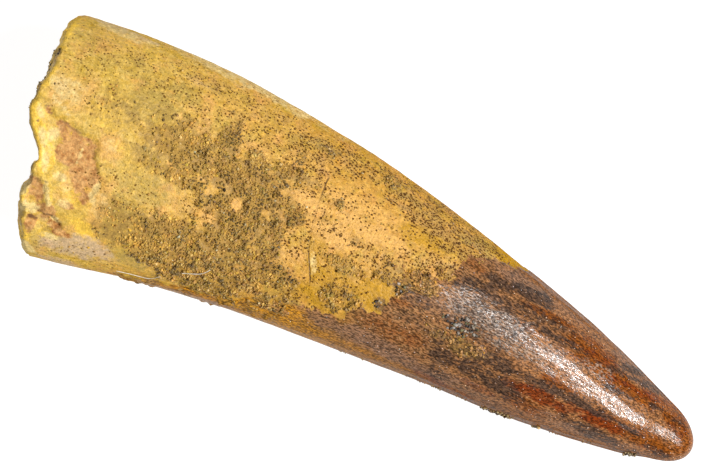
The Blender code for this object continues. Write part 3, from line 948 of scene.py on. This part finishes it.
@dataclass(frozen=True)
class FossilSkinFinish:
    """Fossil dentine and enamel: satin ochre root with mineral specks, glossy stained crown."""

    ochre: str = "#BE8620"
    honey: str = "#D8A64C"
    ochre_at_base: str = "#CA9E2E"
    honey_at_base: str = "#E4C064"
    rosy_ochre: str = "#DE9E58"
    green_ochre: str = "#BE9C2C"
    peach: str = "#DCA650"
    yellow: str = "#BC8A04"
    # brightened partly as painted light, against the shade of the broken end, which faces away from the
    # soft box
    yellow_at_base: str = "#F2C444"
    olive: str = "#B09240"
    cream: str = "#ECCE86"
    matrix_light: str = "#E6B26C"
    matrix_dark: str = "#A2642A"
    haze: str = "#9C7C44"
    pit_and_shadow: str = "#5E4026"
    grey: str = "#CDAE88"
    speck: str = "#4E2C08"
    speck_at_base: str = "#6E4E1C"
    silt: str = "#9C7836"
    crack: str = "#5E3C10"
    enamel_brown: str = "#784E2E"
    enamel_amber: str = "#92623A"
    enamel_dust: str = "#8C6A46"
    enamel_dark: str = "#3E3028"
    enamel_orange: str = "#743C0A"
    enamel_red: str = "#6C2A06"
    enamel_violet_reflection: str = "#7C5C46"
    enamel_gold: str = "#B0781C"
    enamel_glint_highlight: str = "#8C7868"
    keel_brown: str = "#7C4A18"
    keel_gold: str = "#A87024"
    crack_half_width: float = 0.12
    root_roughness: float = 0.5
    root_ior: float = 1.45
    # apatite, the mineral of tooth enamel, has an index of about 1.63
    enamel_ior: float = 1.6
    enamel_roughness_at_root: float = 0.3
    enamel_roughness_at_tip: float = 0.15
    hollow_roughness: float = 0.32

    def material(self) -> bpy.types.Material:
        """Builds the one material that covers crown, root and break.

        Returns:
            The finished material.
        """
        g = Graph("fossil dentine and enamel", (*(coat.value for coat in Coat), *LINES))
        fine = g.pattern(0.35, 4)
        frayed = g.add("MapRange", {"Value": fine, "To Min": -0.2, "To Max": 0.2})
        inward = g.add("Math", {0: g.painted["enamel"], 1: frayed}, operation="ADD")
        bitten = g.add("MapRange", {"Value": g.pattern(0.9, 3), "To Min": -0.35, "To Max": 0.35})
        inward = g.add("Math", {0: inward, 1: bitten}, operation="ADD")
        enamel = g.add("MapRange", {"Value": inward, "From Min": -0.06, "From Max": 0.06})
        dense = self.speck_density(g)
        specks = self.specks(g, dense)
        granules = g.pattern(0.2, 1, stretch=1.5, contrast=1.5)
        root, crown = self.root_colour(g, fine, dense, specks), self.enamel_colour(g, fine)
        colours = {0: enamel, 6: root, 7: crown}
        g.join(g.shader.inputs["Base Color"], g.add("Mix", colours, **OF_COLOURS))
        self.gloss(g, enamel, fine, granules, specks)
        self.bumps(g, enamel, fine, granules, specks)
        return g.material

    def speck_density(self, g: Graph) -> Socket:
        """How densely the mineral specks lie, gathered in clusters.

        Args:
            g: the material's graph.

        Returns:
            The output with the density.
        """
        weight = g.add("MapRange", {"Value": g.pattern(1.0, 3), "To Min": 0.25, "To Max": 1.45})
        hidden = {0: g.painted["silt"], 1: g.painted[Coat.CREAM.value]}
        hidden = g.add("Math", hidden, operation="MAXIMUM")
        bare = g.add("MapRange", {"Value": hidden, "To Min": 1.0, "To Max": 0.3})
        dense = {0: g.painted[Coat.SPECKS.value], 1: weight}
        dense = g.add("Math", dense, operation="MULTIPLY")
        return g.add("Math", {0: dense, 1: bare}, operation="MULTIPLY")

    def specks(self, g: Graph, dense: Socket) -> Socket:
        """Dark mineral specks 0.15 to 0.3 mm across, from 0 to 1.

        Args:
            g: the material's graph.
            dense: how densely they lie.

        Returns:
            The output with how dark each speck is.
        """
        # noise bends the round cells into uneven specks
        kink = {"Vector": g.place, "Scale": 1 / (0.25 * MM), "Detail": 1.0}
        kink = g.add("TexNoise", kink, output=1)
        kink = g.add("VectorMath", {0: kink, 1: (0.5, 0.5, 0.5)}, operation="SUBTRACT")
        kink = g.add("VectorMath", {0: kink, "Scale": 0.24 * MM}, operation="SCALE")
        place = g.add("VectorMath", {0: g.place, 1: kink}, operation="ADD")
        place = g.add("Mapping", {"Vector": place, "Scale": (0.75, 1.0, 1.0)})
        specks = 0.0
        # they are coarser towards the crown
        coarse = g.add("Math", {0: dense, 1: g.along(-16, 4, 0.35, 1.25)}, operation="MULTIPLY")
        for spacing, radius, share in ((0.23, 0.45, dense), (0.33, 0.41, coarse)):
            cells = {"Vector": place, "Scale": 1 / (spacing * MM)}
            distance = g.add("TexVoronoi", cells, output="Distance")
            chance = g.add("SeparateColor", {0: g.add("TexVoronoi", cells, output="Color")})
            # a cell holds a speck if its chance is under the density
            spare = g.add("Math", {0: share, 1: chance}, operation="SUBTRACT")
            there = g.add("MapRange", {"Value": spare, "From Max": 0.2})
            spot = g.add("MapRange", {"Value": distance, "From Min": radius, "From Max": radius - 0.14})
            spot = g.add("Math", {0: there, 1: spot}, operation="MULTIPLY")
            specks = g.add("Math", {0: specks, 1: spot}, operation="MAXIMUM")
        return specks

    def root_colour(self, g: Graph, fine: Socket, dense: Socket, specks: Socket) -> Socket:
        """Ochre root with peach, yellow and olive zones, broken base, specks, silt and crack.

        It also carries painted light: sheen streaks, pale reflections and rim light along its edges,
        brightening on the broken end's rim, and shadow along the broken end's ledges.

        Args:
            g: the material's graph.
            fine: a pattern of fine grain.
            dense: how densely the dark specks lie, for the haze around them.
            specks: where the dark specks are.

        Returns:
            The root's colour.
        """
        clouds = g.pattern(2.0, 5)
        mottle = g.pattern(0.55, 4, stretch=1.4)
        patches = g.pattern(0.6, 4, shift=7.0)
        to_base = g.along(2, -22)
        pairs = (
            (self.ochre, self.ochre_at_base),
            (self.honey, self.honey_at_base),
            (self.yellow, self.yellow_at_base),
            (self.speck, self.speck_at_base),
        )
        dark, pale, yellow, brown = (
            g.add("Mix", {0: to_base, 6: near, 7: far}, **OF_COLOURS) for near, far in pairs
        )
        colour = g.add("Mix", {0: mottle, 6: dark, 7: pale}, **OF_COLOURS)
        tones = g.pattern(2.0, 4, shift=3.0)
        for hue, start, full in ((self.rosy_ochre, 0.55, 1.0), (self.green_ochre, 0.45, 0.0)):
            part = g.add("MapRange", {"Value": tones, "From Min": start, "From Max": full, "To Max": 0.6})
            colour = g.add("Mix", {0: part, 6: colour, 7: hue}, **OF_COLOURS)
        stone = {0: patches, 6: self.matrix_dark, 7: self.matrix_light}
        stone = g.add("Mix", stone, **OF_COLOURS)
        for layer in (
            (self.olive, Coat.OLIVE.value, patches, 0.7, 0.35, 0.8),
            # peach also lays a painted sheen in two long streaks
            (self.peach, Coat.PEACH.value, mottle, 0.4, 0.45, 0.95),
            # yellow is brighter towards the broken end, partly as painted light against its shade
            (yellow, Coat.YELLOW.value, clouds, 0.5, 0.4, 0.9),
            # grey also lays painted pale reflections and rim light along the root's edges
            (self.grey, Coat.GREY.value, patches, 0.6, 0.4, 0.8),
            (stone, Coat.MATRIX.value, mottle, 0.6, 0.25),
            (yellow, "end_wall", clouds, 0.5, 0.4, 0.7),
            # cream also lays painted rim light along the top edge, and brightens the broken end's rim
            # against its shade
            (self.cream, Coat.CREAM.value, patches, 0.5, 0.3, 0.85),
        ):
            colour = g.coat(colour, *layer)
        haze = g.add("MapRange", {"Value": dense, "From Min": 0.55, "From Max": 1.2, "To Max": 0.5})
        colour = g.add("Mix", {0: haze, 6: colour, 7: self.haze}, **OF_COLOURS)
        colour = g.coat(colour, self.silt, "silt", patches, 0.7, 0.5, 0.8)
        colour = g.shaded(colour, fine, 0.74, 1.18)
        # real grain is finer than the picture shows, and is drawn as fine as it can show
        colour = g.shaded(colour, g.pattern(0.17, 2), 0.86, 1.12)
        colour = g.shaded(colour, g.pattern(0.5, 3, shift=17.0), 0.86, 1.13)
        # dark pebbles, and painted shadow along the broken end's ledges, chip edges and crevices
        colour = g.coat(colour, self.pit_and_shadow, Coat.DARK.value, patches, 0.5, 0.35, 0.85)
        faint = g.add("Math", {0: specks, 1: 0.95}, operation="MULTIPLY")
        colour = g.add("Mix", {0: faint, 6: colour, 7: brown}, **OF_COLOURS)
        filled = g.add("MapRange", {"Value": clouds, "To Min": 0.7})
        line = g.add("Math", {0: self.crack_line(g), 1: filled}, operation="MULTIPLY")
        return g.add("Mix", {0: line, 6: colour, 7: self.crack}, **OF_COLOURS)

    def crack_line(self, g: Graph) -> Socket:
        """1 on the hairline crack across the root, fading out to both sides of it.

        Args:
            g: the material's graph.

        Returns:
            The output with the value.
        """
        offset = g.add("Math", {0: g.painted["crack"]}, operation="ABSOLUTE")
        reach = self.crack_half_width
        near = g.add("MapRange", {"Value": offset, "From Min": reach, "From Max": reach / 3})
        return g.add("Math", {0: near, 1: g.painted["crack_on"]}, operation="MULTIPLY")

    def enamel_colour(self, g: Graph, fine: Socket) -> Socket:
        """Brown enamel with long dark, orange and red stains, golden where it thins at the root.

        It also carries painted light: shade along its side lines, lavender reflections along its edges
        and pale glints on its ridge.

        Args:
            g: the material's graph.
            fine: a pattern of fine grain.

        Returns:
            The crown's colour.
        """
        streaks = g.pattern(0.8, 5, stretch=6)
        threads = g.pattern(0.36, 4, stretch=3.5)
        stains = g.pattern(0.3, 3, stretch=2)
        glint_pattern = g.pattern(0.17, 1, stretch=2.2, shift=15.0, contrast=1.6)
        colour = {0: streaks, 6: self.enamel_brown, 7: self.enamel_amber}
        colour = g.add("Mix", colour, **OF_COLOURS)
        dusty = {0: g.along(34, 16, high=0.8), 1: g.pattern(0.5, 4, shift=9.0)}
        dusty = g.add("Math", dusty, operation="MULTIPLY")
        colour = g.add("Mix", {0: dusty, 6: colour, 7: self.enamel_dust}, **OF_COLOURS)
        # painted shade: darker gold and brown along the crown's side lines, which face sideways towards
        # the glowing table
        edge = {0: g.along(12, 26), 6: self.keel_gold, 7: self.keel_brown}
        edge = g.add("Mix", edge, **OF_COLOURS)
        colour = g.coat(colour, edge, "keel", streaks, 0.4, 0.4, 0.8)
        gold = {0: g.along(13, 6, high=0.95), 6: colour, 7: self.enamel_gold}
        colour = g.add("Mix", gold, **OF_COLOURS)
        for layer in (
            # painted reflection: lavender bands along the crown's edges
            (self.enamel_violet_reflection, Coat.VIOLET.value, streaks, 0.6, 0.4, 0.75),
            (self.enamel_orange, Coat.ORANGE.value, threads, 0.6, 0.45, 0.95),
            (self.enamel_red, Coat.RED.value, threads, 0.6, 0.45, 0.9),
            (self.enamel_dark, Coat.DARK.value, stains, 0.9, 0.4, 0.85),
            # painted highlight: pale glints over the crown's ridge on its rootward half
            (self.enamel_glint_highlight, Coat.GREY.value, glint_pattern, 1.0, 0.3, 0.75),
        ):
            colour = g.coat(colour, *layer)
        thin = g.add("MapRange", {"Value": threads, "From Min": 0.6, "From Max": 1.0, "To Max": 0.6})
        colour = g.add("Mix", {0: thin, 6: colour, 7: self.enamel_dark}, **OF_COLOURS)
        colour = g.coat(colour, self.silt, "silt", fine, 0.7, 0.35, 0.6)
        colour = g.shaded(colour, g.pattern(0.2, 3, stretch=5), 0.76, 1.24)
        # real wrinkles are finer than the picture shows, and are drawn as fine as they can show
        wrinkles = g.pattern(0.15, 1, stretch=2.4, shift=11.0, contrast=2.4)
        return g.shaded(colour, wrinkles, 0.42, 1.5)

    def gloss(
        self, g: Graph, enamel: Socket, fine: Socket, granules: Socket, specks: Socket
    ) -> None:
        """Satin root, glossy enamel that is duller towards the root, matt sand and sandstone.

        Args:
            g: the material's graph.
            enamel: 1 on the enamel and 0 off it.
            fine: a pattern of fine grain.
            granules: the pattern of the enamel's fine wrinkles, matt with dirt where it is low.
            specks: where the dark specks are, which hardly shine.
        """
        # more of each wrinkle is polished towards the tip
        crests = {0: granules, 1: g.along(18, 40, 0.4, 0.1)}
        crests = g.add("Math", crests, operation="SUBTRACT")
        crests = g.add("MapRange", {"Value": crests, "From Max": 0.6})
        polish = g.along(14, 34, self.enamel_roughness_at_root, self.enamel_roughness_at_tip)
        crown = g.add("Mix", {0: crests, 2: self.hollow_roughness, 3: polish})
        rough = g.add("Mix", {0: enamel, 2: self.root_roughness, 3: crown})
        dull = {0: g.painted[Coat.CRUST.value], 1: g.painted[Coat.MATRIX.value]}
        dull = g.add("Math", dull, operation="MAXIMUM")
        rough = g.add("Math", {0: dull, 1: 0.3, 2: rough}, operation="MULTIPLY_ADD")
        uneven = g.add("MapRange", {"Value": fine, "To Min": -0.05, "To Max": 0.05})
        rough = g.add("Math", {0: rough, 1: uneven}, operation="ADD")
        g.join(g.shader.inputs["Roughness"], rough)
        index = g.add("Mix", {0: enamel, 2: self.root_ior, 3: self.enamel_ior})
        g.join(g.shader.inputs["IOR"], index)
        # worn sides and dirty hollows reflect less than the polished crests between them
        crest_level = g.add("Mix", {0: crests, 2: g.along(22, 44, 0.04, 0.21), 3: 0.26})
        tip_sheen = g.along(43, 49, 1.0, 0.45)
        crest_level = g.add("Math", {0: crest_level, 1: tip_sheen}, operation="MULTIPLY")
        root_level = g.add("Mix", {0: specks, 2: 0.5, 3: 0.1})
        level = g.add("Mix", {0: enamel, 2: root_level, 3: crest_level})
        worn = g.add("Mix", {0: g.painted["edge_wear"], 2: level, 3: 0.015})
        g.join(g.shader.inputs["Specular IOR Level"], worn)

    def bumps(
        self, g: Graph, enamel: Socket, fine: Socket, granules: Socket, specks: Socket
    ) -> None:
        """Relief too fine for the mesh, as heights in millimetres.

        Args:
            g: the material's graph.
            enamel: 1 on the enamel and 0 off it.
            fine: a pattern of fine grain.
            granules: the pattern of the enamel's fine wrinkles.
            specks: where the dark specks are, which are small pits.
        """
        grit = g.pattern(0.16, 2)
        crown = g.add("Math", {0: granules, 1: 0.006}, operation="MULTIPLY")
        waves = g.pattern(0.7, 2, stretch=2.5)
        crown = g.add("Math", {0: waves, 1: 0.016, 2: crown}, operation="MULTIPLY_ADD")
        root = g.add("Math", {0: fine, 1: 0.05}, operation="MULTIPLY")
        root = g.add("Math", {0: grit, 1: 0.02, 2: root}, operation="MULTIPLY_ADD")
        root = g.add("Math", {0: specks, 1: -0.02, 2: root}, operation="MULTIPLY_ADD")
        root = g.add("Math", {0: self.crack_line(g), 1: -0.04, 2: root}, operation="MULTIPLY_ADD")
        height = g.add("Mix", {0: enamel, 2: root, 3: crown})
        bump = g.add("Bump", {"Strength": 1.0, "Distance": MM, "Height": height})
        g.join(g.shader.inputs["Normal"], bump)


@dataclass(frozen=True)
class Pigment:
    """One colour of sand grain and how common it is beside the bed's other colours."""

    colour: str
    share: float


SAND = (
    Pigment("#A6823E", 0.36),
    Pigment("#987238", 0.24),
    Pigment("#B49046", 0.2),
    Pigment("#AC8A30", 0.12),
    Pigment("#80622E", 0.05),
    Pigment("#BEA068", 0.03),
    Pigment("#C8B88C", 0.003),
)
DARK_SAND = (
    Pigment("#2E2A22", 0.4),
    Pigment("#4C4A3A", 0.22),
    Pigment("#6E6E44", 0.2),
    Pigment("#94927A", 0.4),
    Pigment("#A8A694", 0.1),
)
EDGE_GRIT = (
    Pigment("#857642", 0.4),
    Pigment("#9C8C54", 0.25),
    Pigment("#64502B", 0.35),
)
PALE_DUST = (Pigment("#D8BE92", 0.5), Pigment("#F0E2C8", 0.3), Pigment("#8E7A58", 0.2))
# damper, darker sand in the thick of the crust, and how much darker it is
DAMP_SAND = Blot(-2.4, 0, 5, 3.6)
DAMP_DEPTH = 0.22


@dataclass
class SandBed:
    """Grains of sand stuck to the skin, as densely as a density says, joined in one mesh."""

    name: str
    density: np.ndarray
    spacing: float
    radius: tuple[float, float]
    pigments: tuple[Pigment, ...] = SAND
    lift: float = 0.0
    sunk: float = 0.2
    seed: int = 1
    stray: float = 0.45
    bumpy: tuple[float, float] = (0.78, 1.2)
    squashed: tuple[float, float] = (0.7, 1.2)

    def build(self, skin: ToothSkin, finish: bpy.types.Material) -> bpy.types.Object:
        """Sets a grain at each chosen place of the skin.

        Args:
            skin: the skin, whose points and normals the grains sit on.
            finish: the sand's material.

        Returns:
            The object that holds all the bed's grains.
        """
        rng = np.random.default_rng(self.seed)
        chosen = self.choose(skin.points, rng)
        size = rng.uniform(*self.radius, len(chosen))[:, None]
        normals = skin.normals[chosen]
        aside = rng.uniform(-self.stray, self.stray, normals.shape) * self.spacing
        aside -= normals * np.sum(aside * normals, axis=1, keepdims=True)
        centres = skin.points[chosen] + aside + normals * (self.sunk * size + self.lift)
        centres[:, 2] = np.maximum(centres[:, 2], size[:, 0])
        shape, faces = self.grain()
        count = len(shape)
        shapes = shape[None] * rng.uniform(*self.bumpy, (len(chosen), count, 1))
        shapes = shapes * rng.uniform(*self.squashed, (len(chosen), 1, 3)) * size[:, :, None]
        turned = np.einsum("nij,nvj->nvi", self.turns(len(chosen), rng), shapes)
        points = (centres[:, None] + turned).reshape(-1, 3) * MM
        points[:, 2] = np.maximum(points[:, 2], 0.0)
        corners = (faces[None] + count * np.arange(len(chosen))[:, None, None]).reshape(-1, 3)
        mesh = bpy.data.meshes.new(self.name)
        mesh.from_pydata(points.tolist(), [], corners.tolist())
        tints = self.tints(skin.points[chosen], rng)
        tint = mesh.attributes.new("tint", "FLOAT_COLOR", "POINT")
        tint.data.foreach_set("color", np.repeat(tints, count, axis=0).ravel())
        mesh.materials.append(finish)
        log.info("%s: %d grains", self.name, len(chosen))
        return put_in_scene(self.name, mesh)

    def choose(self, points: np.ndarray, rng: np.random.Generator) -> np.ndarray:
        """Picks points at random by density, none nearer to another than the spacing.

        Args:
            points: the skin's points.
            rng: the source of random numbers.

        Returns:
            The chosen points' numbers.
        """
        likely = np.flatnonzero(rng.random(len(points)) < self.density)
        order = rng.permutation(likely)
        cells = np.floor(points[order] / self.spacing).astype(int).tolist()
        places = points[order].tolist()
        taken: dict[tuple[int, int, int], list] = {}
        kept = []
        near = (-1, 0, 1)
        closest = self.spacing**2
        for index, (i, j, k), place in zip(order.tolist(), cells, places):
            around = (taken.get((i + a, j + b, k + c), ()) for a in near for b in near for c in near)
            if any(math.dist(place, other) ** 2 < closest for cell in around for other in cell):
                continue
            taken.setdefault((i, j, k), []).append(place)
            kept.append(index)
        return np.array(kept, dtype=int)

    def grain(self) -> tuple[np.ndarray, np.ndarray]:
        """The points and faces of one round grain of radius 1.

        Returns:
            Rows of x, y, z, and rows of three points' numbers.
        """
        ball = bmesh.new()
        bmesh.ops.create_icosphere(ball, subdivisions=1, radius=1.0)
        points = np.array([vertex.co[:] for vertex in ball.verts])
        faces = np.array([[vertex.index for vertex in face.verts] for face in ball.faces])
        ball.free()
        return points, faces

    def turns(self, count: int, rng: np.random.Generator) -> np.ndarray:
        """Random turns, as one 3 by 3 matrix for each grain.

        Args:
            count: how many grains there are.
            rng: the source of random numbers.

        Returns:
            The matrices.
        """
        quaternions = rng.normal(size=(4, count))
        w, x, y, z = quaternions / np.linalg.norm(quaternions, axis=0)
        rows = [
            [1 - 2 * (y * y + z * z), 2 * (x * y - w * z), 2 * (x * z + w * y)],
            [2 * (x * y + w * z), 1 - 2 * (x * x + z * z), 2 * (y * z - w * x)],
            [2 * (x * z - w * y), 2 * (y * z + w * x), 1 - 2 * (x * x + y * y)],
        ]
        return np.array(rows).transpose(2, 0, 1)

    def tints(self, places: np.ndarray, rng: np.random.Generator) -> np.ndarray:
        """A colour for each grain near one of the pigments, in drifts of lighter and darker sand.

        Args:
            places: the grains' places on the skin.
            rng: the source of random numbers.

        Returns:
            Rows of red, green, blue and alpha.
        """
        shares = np.array([pigment.share for pigment in self.pigments])
        colours = np.array([linear(pigment.colour) for pigment in self.pigments])
        picked = colours[rng.choice(len(shares), len(places), p=shares / shares.sum())]
        drifts = 1 + 0.7 * lumps(places + 70, 1.6) + 0.55 * lumps(places + 90, 0.7, 2)
        picked[:, :3] *= (drifts * rng.uniform(0.9, 1.1, len(places)))[:, None]
        # rustier and greener drifts
        hue = lumps(places + 110, 1.1, 2)
        picked[:, 0] *= 1 + 0.16 * hue
        picked[:, 2] *= 1 - 0.3 * hue
        x, y = places[:, 0], places[:, 1]
        damp = DAMP_SAND.cover(x, y)
        picked[:, :3] *= (1 - DAMP_DEPTH * damp)[:, None]
        # yellower towards the broken end, redder on the crown
        picked[:, :2] *= 1 + 0.25 * fade(-3, -17, x)[:, None]
        picked[:, 1] *= 1 - 0.14 * fade(10, 15, x)
        return np.clip(picked, 0, 1).astype(np.float32)


@dataclass(frozen=True)
class SandFinish:
    """Quartz sand stained by iron oxide: each grain its own colour, dull to slightly glassy."""

    roughness: float = 0.55
    ior: float = 1.54

    def material(self) -> bpy.types.Material:
        """Builds the sand's material, which reads each grain's tint.

        Returns:
            The finished material.
        """
        g = Graph("iron-stained quartz sand")
        tint = g.add("Attribute", output="Color", attribute_name="tint")
        film = g.pattern(0.16, 2)
        g.join(g.shader.inputs["Base Color"], g.shaded(tint, film, 0.84, 1.1))
        g.join(g.shader.inputs["Roughness"], self.roughness)
        g.join(g.shader.inputs["IOR"], self.ior)
        height = g.add("Math", {0: film, 1: 0.015}, operation="MULTIPLY")
        bump = g.add("Bump", {"Strength": 1.0, "Distance": MM, "Height": height})
        g.join(g.shader.inputs["Normal"], bump)
        return g.material


@dataclass
class LintFibre:
    """A fine white cotton fibre caught on the sand, along points given in plan view."""

    name: str
    route: tuple[tuple[float, float], ...]
    radius: float = 0.035
    lift: float = 0.42

    def build(self, skin: ToothSkin, finish: bpy.types.Material) -> bpy.types.Object:
        """Lays the fibre over the grains.

        Args:
            skin: the skin, whose height under the fibre is read.
            finish: the lint's material.

        Returns:
            The fibre as a curve object.
        """
        curve = bpy.data.curves.new(self.name, "CURVE")
        curve.dimensions = "3D"
        curve.bevel_depth = self.radius * MM
        curve.bevel_resolution = 1
        curve.use_fill_caps = True
        spline = curve.splines.new("NURBS")
        spline.points.add(len(self.route) - 1)
        spline.use_endpoint_u = True
        spline.order_u = 4
        top = skin.points[skin.normals[:, 2] > 0]
        for point, (x, y) in zip(spline.points, self.route):
            nearest = top[np.argmin(np.hypot(top[:, 0] - x, top[:, 1] - y))]
            point.co = (x * MM, y * MM, (nearest[2] + self.lift) * MM, 1.0)
        curve.materials.append(finish)
        return put_in_scene(self.name, curve)


def lint_finish() -> bpy.types.Material:
    """Bleached cotton lint: matt, nearly white, with a little uneven dust.

    Returns:
        The finished material.
    """
    g = Graph("cotton lint")
    dusty = {0: g.pattern(0.4, 2), 6: "#F0ECE0", 7: "#C9C0A6"}
    g.join(g.shader.inputs["Base Color"], g.add("Mix", dusty, **OF_COLOURS))
    g.join(g.shader.inputs["Roughness"], 0.9)
    return g.material


@dataclass(frozen=True)
class Studio:
    """A white table, soft light from above, and the camera straight over the tooth."""

    photo_width_px: int = 708
    mm_per_px: float = 0.1063
    aim: tuple[float, float, float] = (8.0, 2.0, 9.0)
    turn_deg: float = 27.15
    distance: float = 500.0
    table_size: float = 4000.0
    table_glow: float = 0.95
    sky: float = 0.15
    key_power: float = 5.6
    key_sides: tuple[float, float] = (400.0, 45.0)
    key_distance: float = 600.0
    key_lean_deg: tuple[float, float] = (36.0, 6.4)
    key_turn_deg: float = -36.0

    def build(self) -> None:
        """Sets up the table, the lights, the camera and plain picture settings."""
        self.table()
        self.lights()
        self.camera()
        bpy.context.scene.view_settings.view_transform = "Standard"

    def table(self) -> None:
        """A plain white acrylic table, lit from below so that it stays free of shadow."""
        top = bmesh.new()
        bmesh.ops.create_grid(top, x_segments=1, y_segments=1, size=self.table_size * MM / 2)
        mesh = bpy.data.meshes.new("table")
        top.to_mesh(mesh)
        top.free()
        g = Graph("white acrylic sheet")
        g.join(g.shader.inputs["Base Color"], linear("#808080"))
        g.join(g.shader.inputs["Roughness"], 0.6)
        g.join(g.shader.inputs["Emission Color"], (1.0, 1.0, 1.0, 1.0))
        g.join(g.shader.inputs["Emission Strength"], self.table_glow)
        mesh.materials.append(g.material)
        table = put_in_scene("table", mesh)

    def lights(self) -> None:
        """An even white surround and one soft box above the camera."""
        world = bpy.data.worlds.new("studio")
        world.use_nodes = True
        surround = world.node_tree.nodes["Background"].inputs
        surround["Color"].default_value = (1.0, 1.0, 1.0, 1.0)
        surround["Strength"].default_value = self.sky
        bpy.context.scene.world = world
        lamp = bpy.data.lights.new("soft box", "AREA")
        lamp.shape = "RECTANGLE"
        lamp.size, lamp.size_y = (side * MM for side in self.key_sides)
        lamp.energy = self.key_power
        box = put_in_scene("soft box", lamp)
        to_tip, to_front = (math.tan(math.radians(lean)) for lean in self.key_lean_deg)
        outward = Vector((to_tip, to_front, 1.0)).normalized()
        along = (Vector((1.0, 0.0, 0.0)) - outward * outward.x).normalized()
        facing = Matrix((along, outward.cross(along), outward)).transposed()
        turn = Matrix.Rotation(math.radians(self.key_turn_deg), 3, "Z")
        box.location = (Vector(self.aim) + self.key_distance * outward) * MM
        box.rotation_euler = (facing @ turn).to_euler()

    def camera(self) -> None:
        """The camera looks straight down, turned so that the tip points down to the right."""
        lens = bpy.data.cameras.new("camera")
        lens.sensor_fit = "HORIZONTAL"
        lens.lens = lens.sensor_width * self.distance / (self.photo_width_px * self.mm_per_px)
        lens.clip_start = 0.01
        lens.clip_end = 10.0
        camera = put_in_scene("camera", lens)
        camera.location = (Vector(self.aim) + Vector((0.0, 0.0, self.distance))) * MM
        camera.rotation_euler = (0.0, 0.0, math.radians(self.turn_deg))
        bpy.context.scene.camera = camera


def near_edge(
    skin: ToothSkin, spans: tuple[tuple[float, float, float], ...], height: float
) -> np.ndarray:
    """Density of the grit along the tooth's back edge.

    Args:
        skin: the built skin.
        spans: rows of first X, last X and density.
        height: how far the grit spreads above and below a wavering line along the edge's middle,
            in millimetres.

    Returns:
        One density for each point of the skin.
    """
    x, y, z = skin.points.T
    middle_y, middle_z = skin.form.section(x)[:2]
    off_line = np.abs(z - middle_z - 0.9 * lumps(skin.points, 2.5))
    on_edge = (y < middle_y) * fade(height, height * 0.3, off_line)
    density = np.zeros_like(x)
    for first, last, share in spans:
        density = np.maximum(density, share * ((x > first) & (x < last)))
    return density * on_edge


def beds(skin: ToothSkin) -> list[SandBed]:
    """Every bed of grains on the tooth, with its place, grain size and colours.

    Args:
        skin: the built skin.

    Returns:
        The beds, in the order that they are made.
    """
    x, y = skin.points[:, 0], skin.points[:, 1]
    top = skin.normals[:, 2] > 0
    clear_top = fade(0.42, 0.65, skin.normals[:, 2])
    hidden = fade(-0.3, -0.5, skin.normals[:, 2])
    crust = skin.paint[Coat.CRUST.value]
    specks = skin.paint[Coat.SPECKS.value]
    enamel = fade(0.0, 0.4, skin.paint["enamel"])
    clump = Blot(22.6, -1.3, 2.3, 0.95).cover(x, y, 0.5 * lumps(skin.points, 0.9))
    rim_blots = (Blot(-28.4, 0.6, 0.4, 3.4), Blot(-28.4, 4.9, 0.5, 0.4))
    uneven = 0.5 * lumps(skin.points, 1.2)
    rim = np.max([blot.cover(x, y, uneven) for blot in rim_blots], axis=0) - 0.3
    pebbles = Blot(14.8, -0.9, 0.5, 0.8).cover(x, y)
    knot = Blot(13.5, -3.2, 0.7, 0.6).cover(x, y)
    dark = top * (clump + pebbles + knot) - 0.4
    grit_spans = ((11.5, 17.0, 0.2), (19.0, 32.0, 0.45), (27.8, 32.0, 0.6), (32.0, 41.0, 0.1))
    grit = near_edge(skin, grit_spans, 1.3) * fade(-0.15, 0.25, lumps(skin.points, 1.4, 2))
    knobs = near_edge(skin, ((28.4, 31.8, 0.4), (34.1, 35.0, 0.6), (44.2, 45.4, 0.6)), 1.2)
    loose = crust * (1 - crust) * 2 + 0.03 * specks + 0.004
    on_top = crust * (1 - 0.5 * enamel) * clear_top * (0.12 + 0.88 * fade(*CRUST_THINS, x))
    return [
        SandBed("sand_crust_top", on_top, 0.30, (0.11, 0.22), sunk=-0.1, seed=3),
        SandBed("sand_crust_fine", on_top, 0.22, (0.07, 0.12), lift=0.05, sunk=0.0, seed=13),
        SandBed("sand_crust_upper_layer", 0.04 * on_top, 0.45, (0.14, 0.2), lift=0.1, seed=4),
        SandBed("sand_crust_under", 0.8 * crust * hidden, 0.36, (0.16, 0.25), seed=5),
        SandBed("sand_loose", loose * (1 - enamel) * clear_top, 0.4, (0.08, 0.15), seed=6),
        SandBed("sand_dust_on_crown", 0.035 * enamel * clear_top, 0.4, (0.035, 0.06), PALE_DUST, seed=7),
        SandBed("sand_clump_dark", dark, 0.2, (0.11, 0.22), DARK_SAND, seed=18),
        SandBed("sand_edge", grit, 0.17, (0.06, 0.12), EDGE_GRIT, seed=9),
        SandBed("sand_edge_knobs", knobs, 0.2, (0.1, 0.19), EDGE_GRIT, sunk=0.3, seed=10),
        SandBed("sand_rim", rim, 0.25, (0.06, 0.13), EDGE_GRIT, sunk=0.0, seed=11),
    ]


FIBRES = (
    LintFibre("lint_right", ((-6.3, -9.75), (-5.6, -9.4), (-5.0, -9.2), (-4.2, -8.75), (-3.8, -8.05))),
    LintFibre(
        "lint_left",
        ((-12.6, -12.7), (-11.4, -12.4), (-10.2, -12.1), (-9.2, -11.95), (-8.6, -11.5), (-8.2, -11.1)),
        lift=0.62,
    ),
)


def main() -> None:
    """Builds the studio, the tooth's skin and what is stuck to it, and reports each piece."""
    logging.basicConfig(level=logging.INFO, format="%(message)s")
    Studio().build()
    skin = ToothSkin(ToothForm())
    tooth = skin.build()
    tooth.data.materials.append(FossilSkinFinish().material())
    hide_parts(NODE)
    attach(tooth, BODY)
    log.info("tooth_skin: %d faces", len(tooth.data.polygons))
    sand = SandFinish().material()
    for bed in beds(skin):
        grains = bed.build(skin, sand)
        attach(grains, BODY)
    lint = lint_finish()
    for fibre in FIBRES:
        piece = fibre.build(skin, lint)
        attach(piece, BODY)
        log.info("%s", fibre.name)


if __name__ == "__main__":
    main()
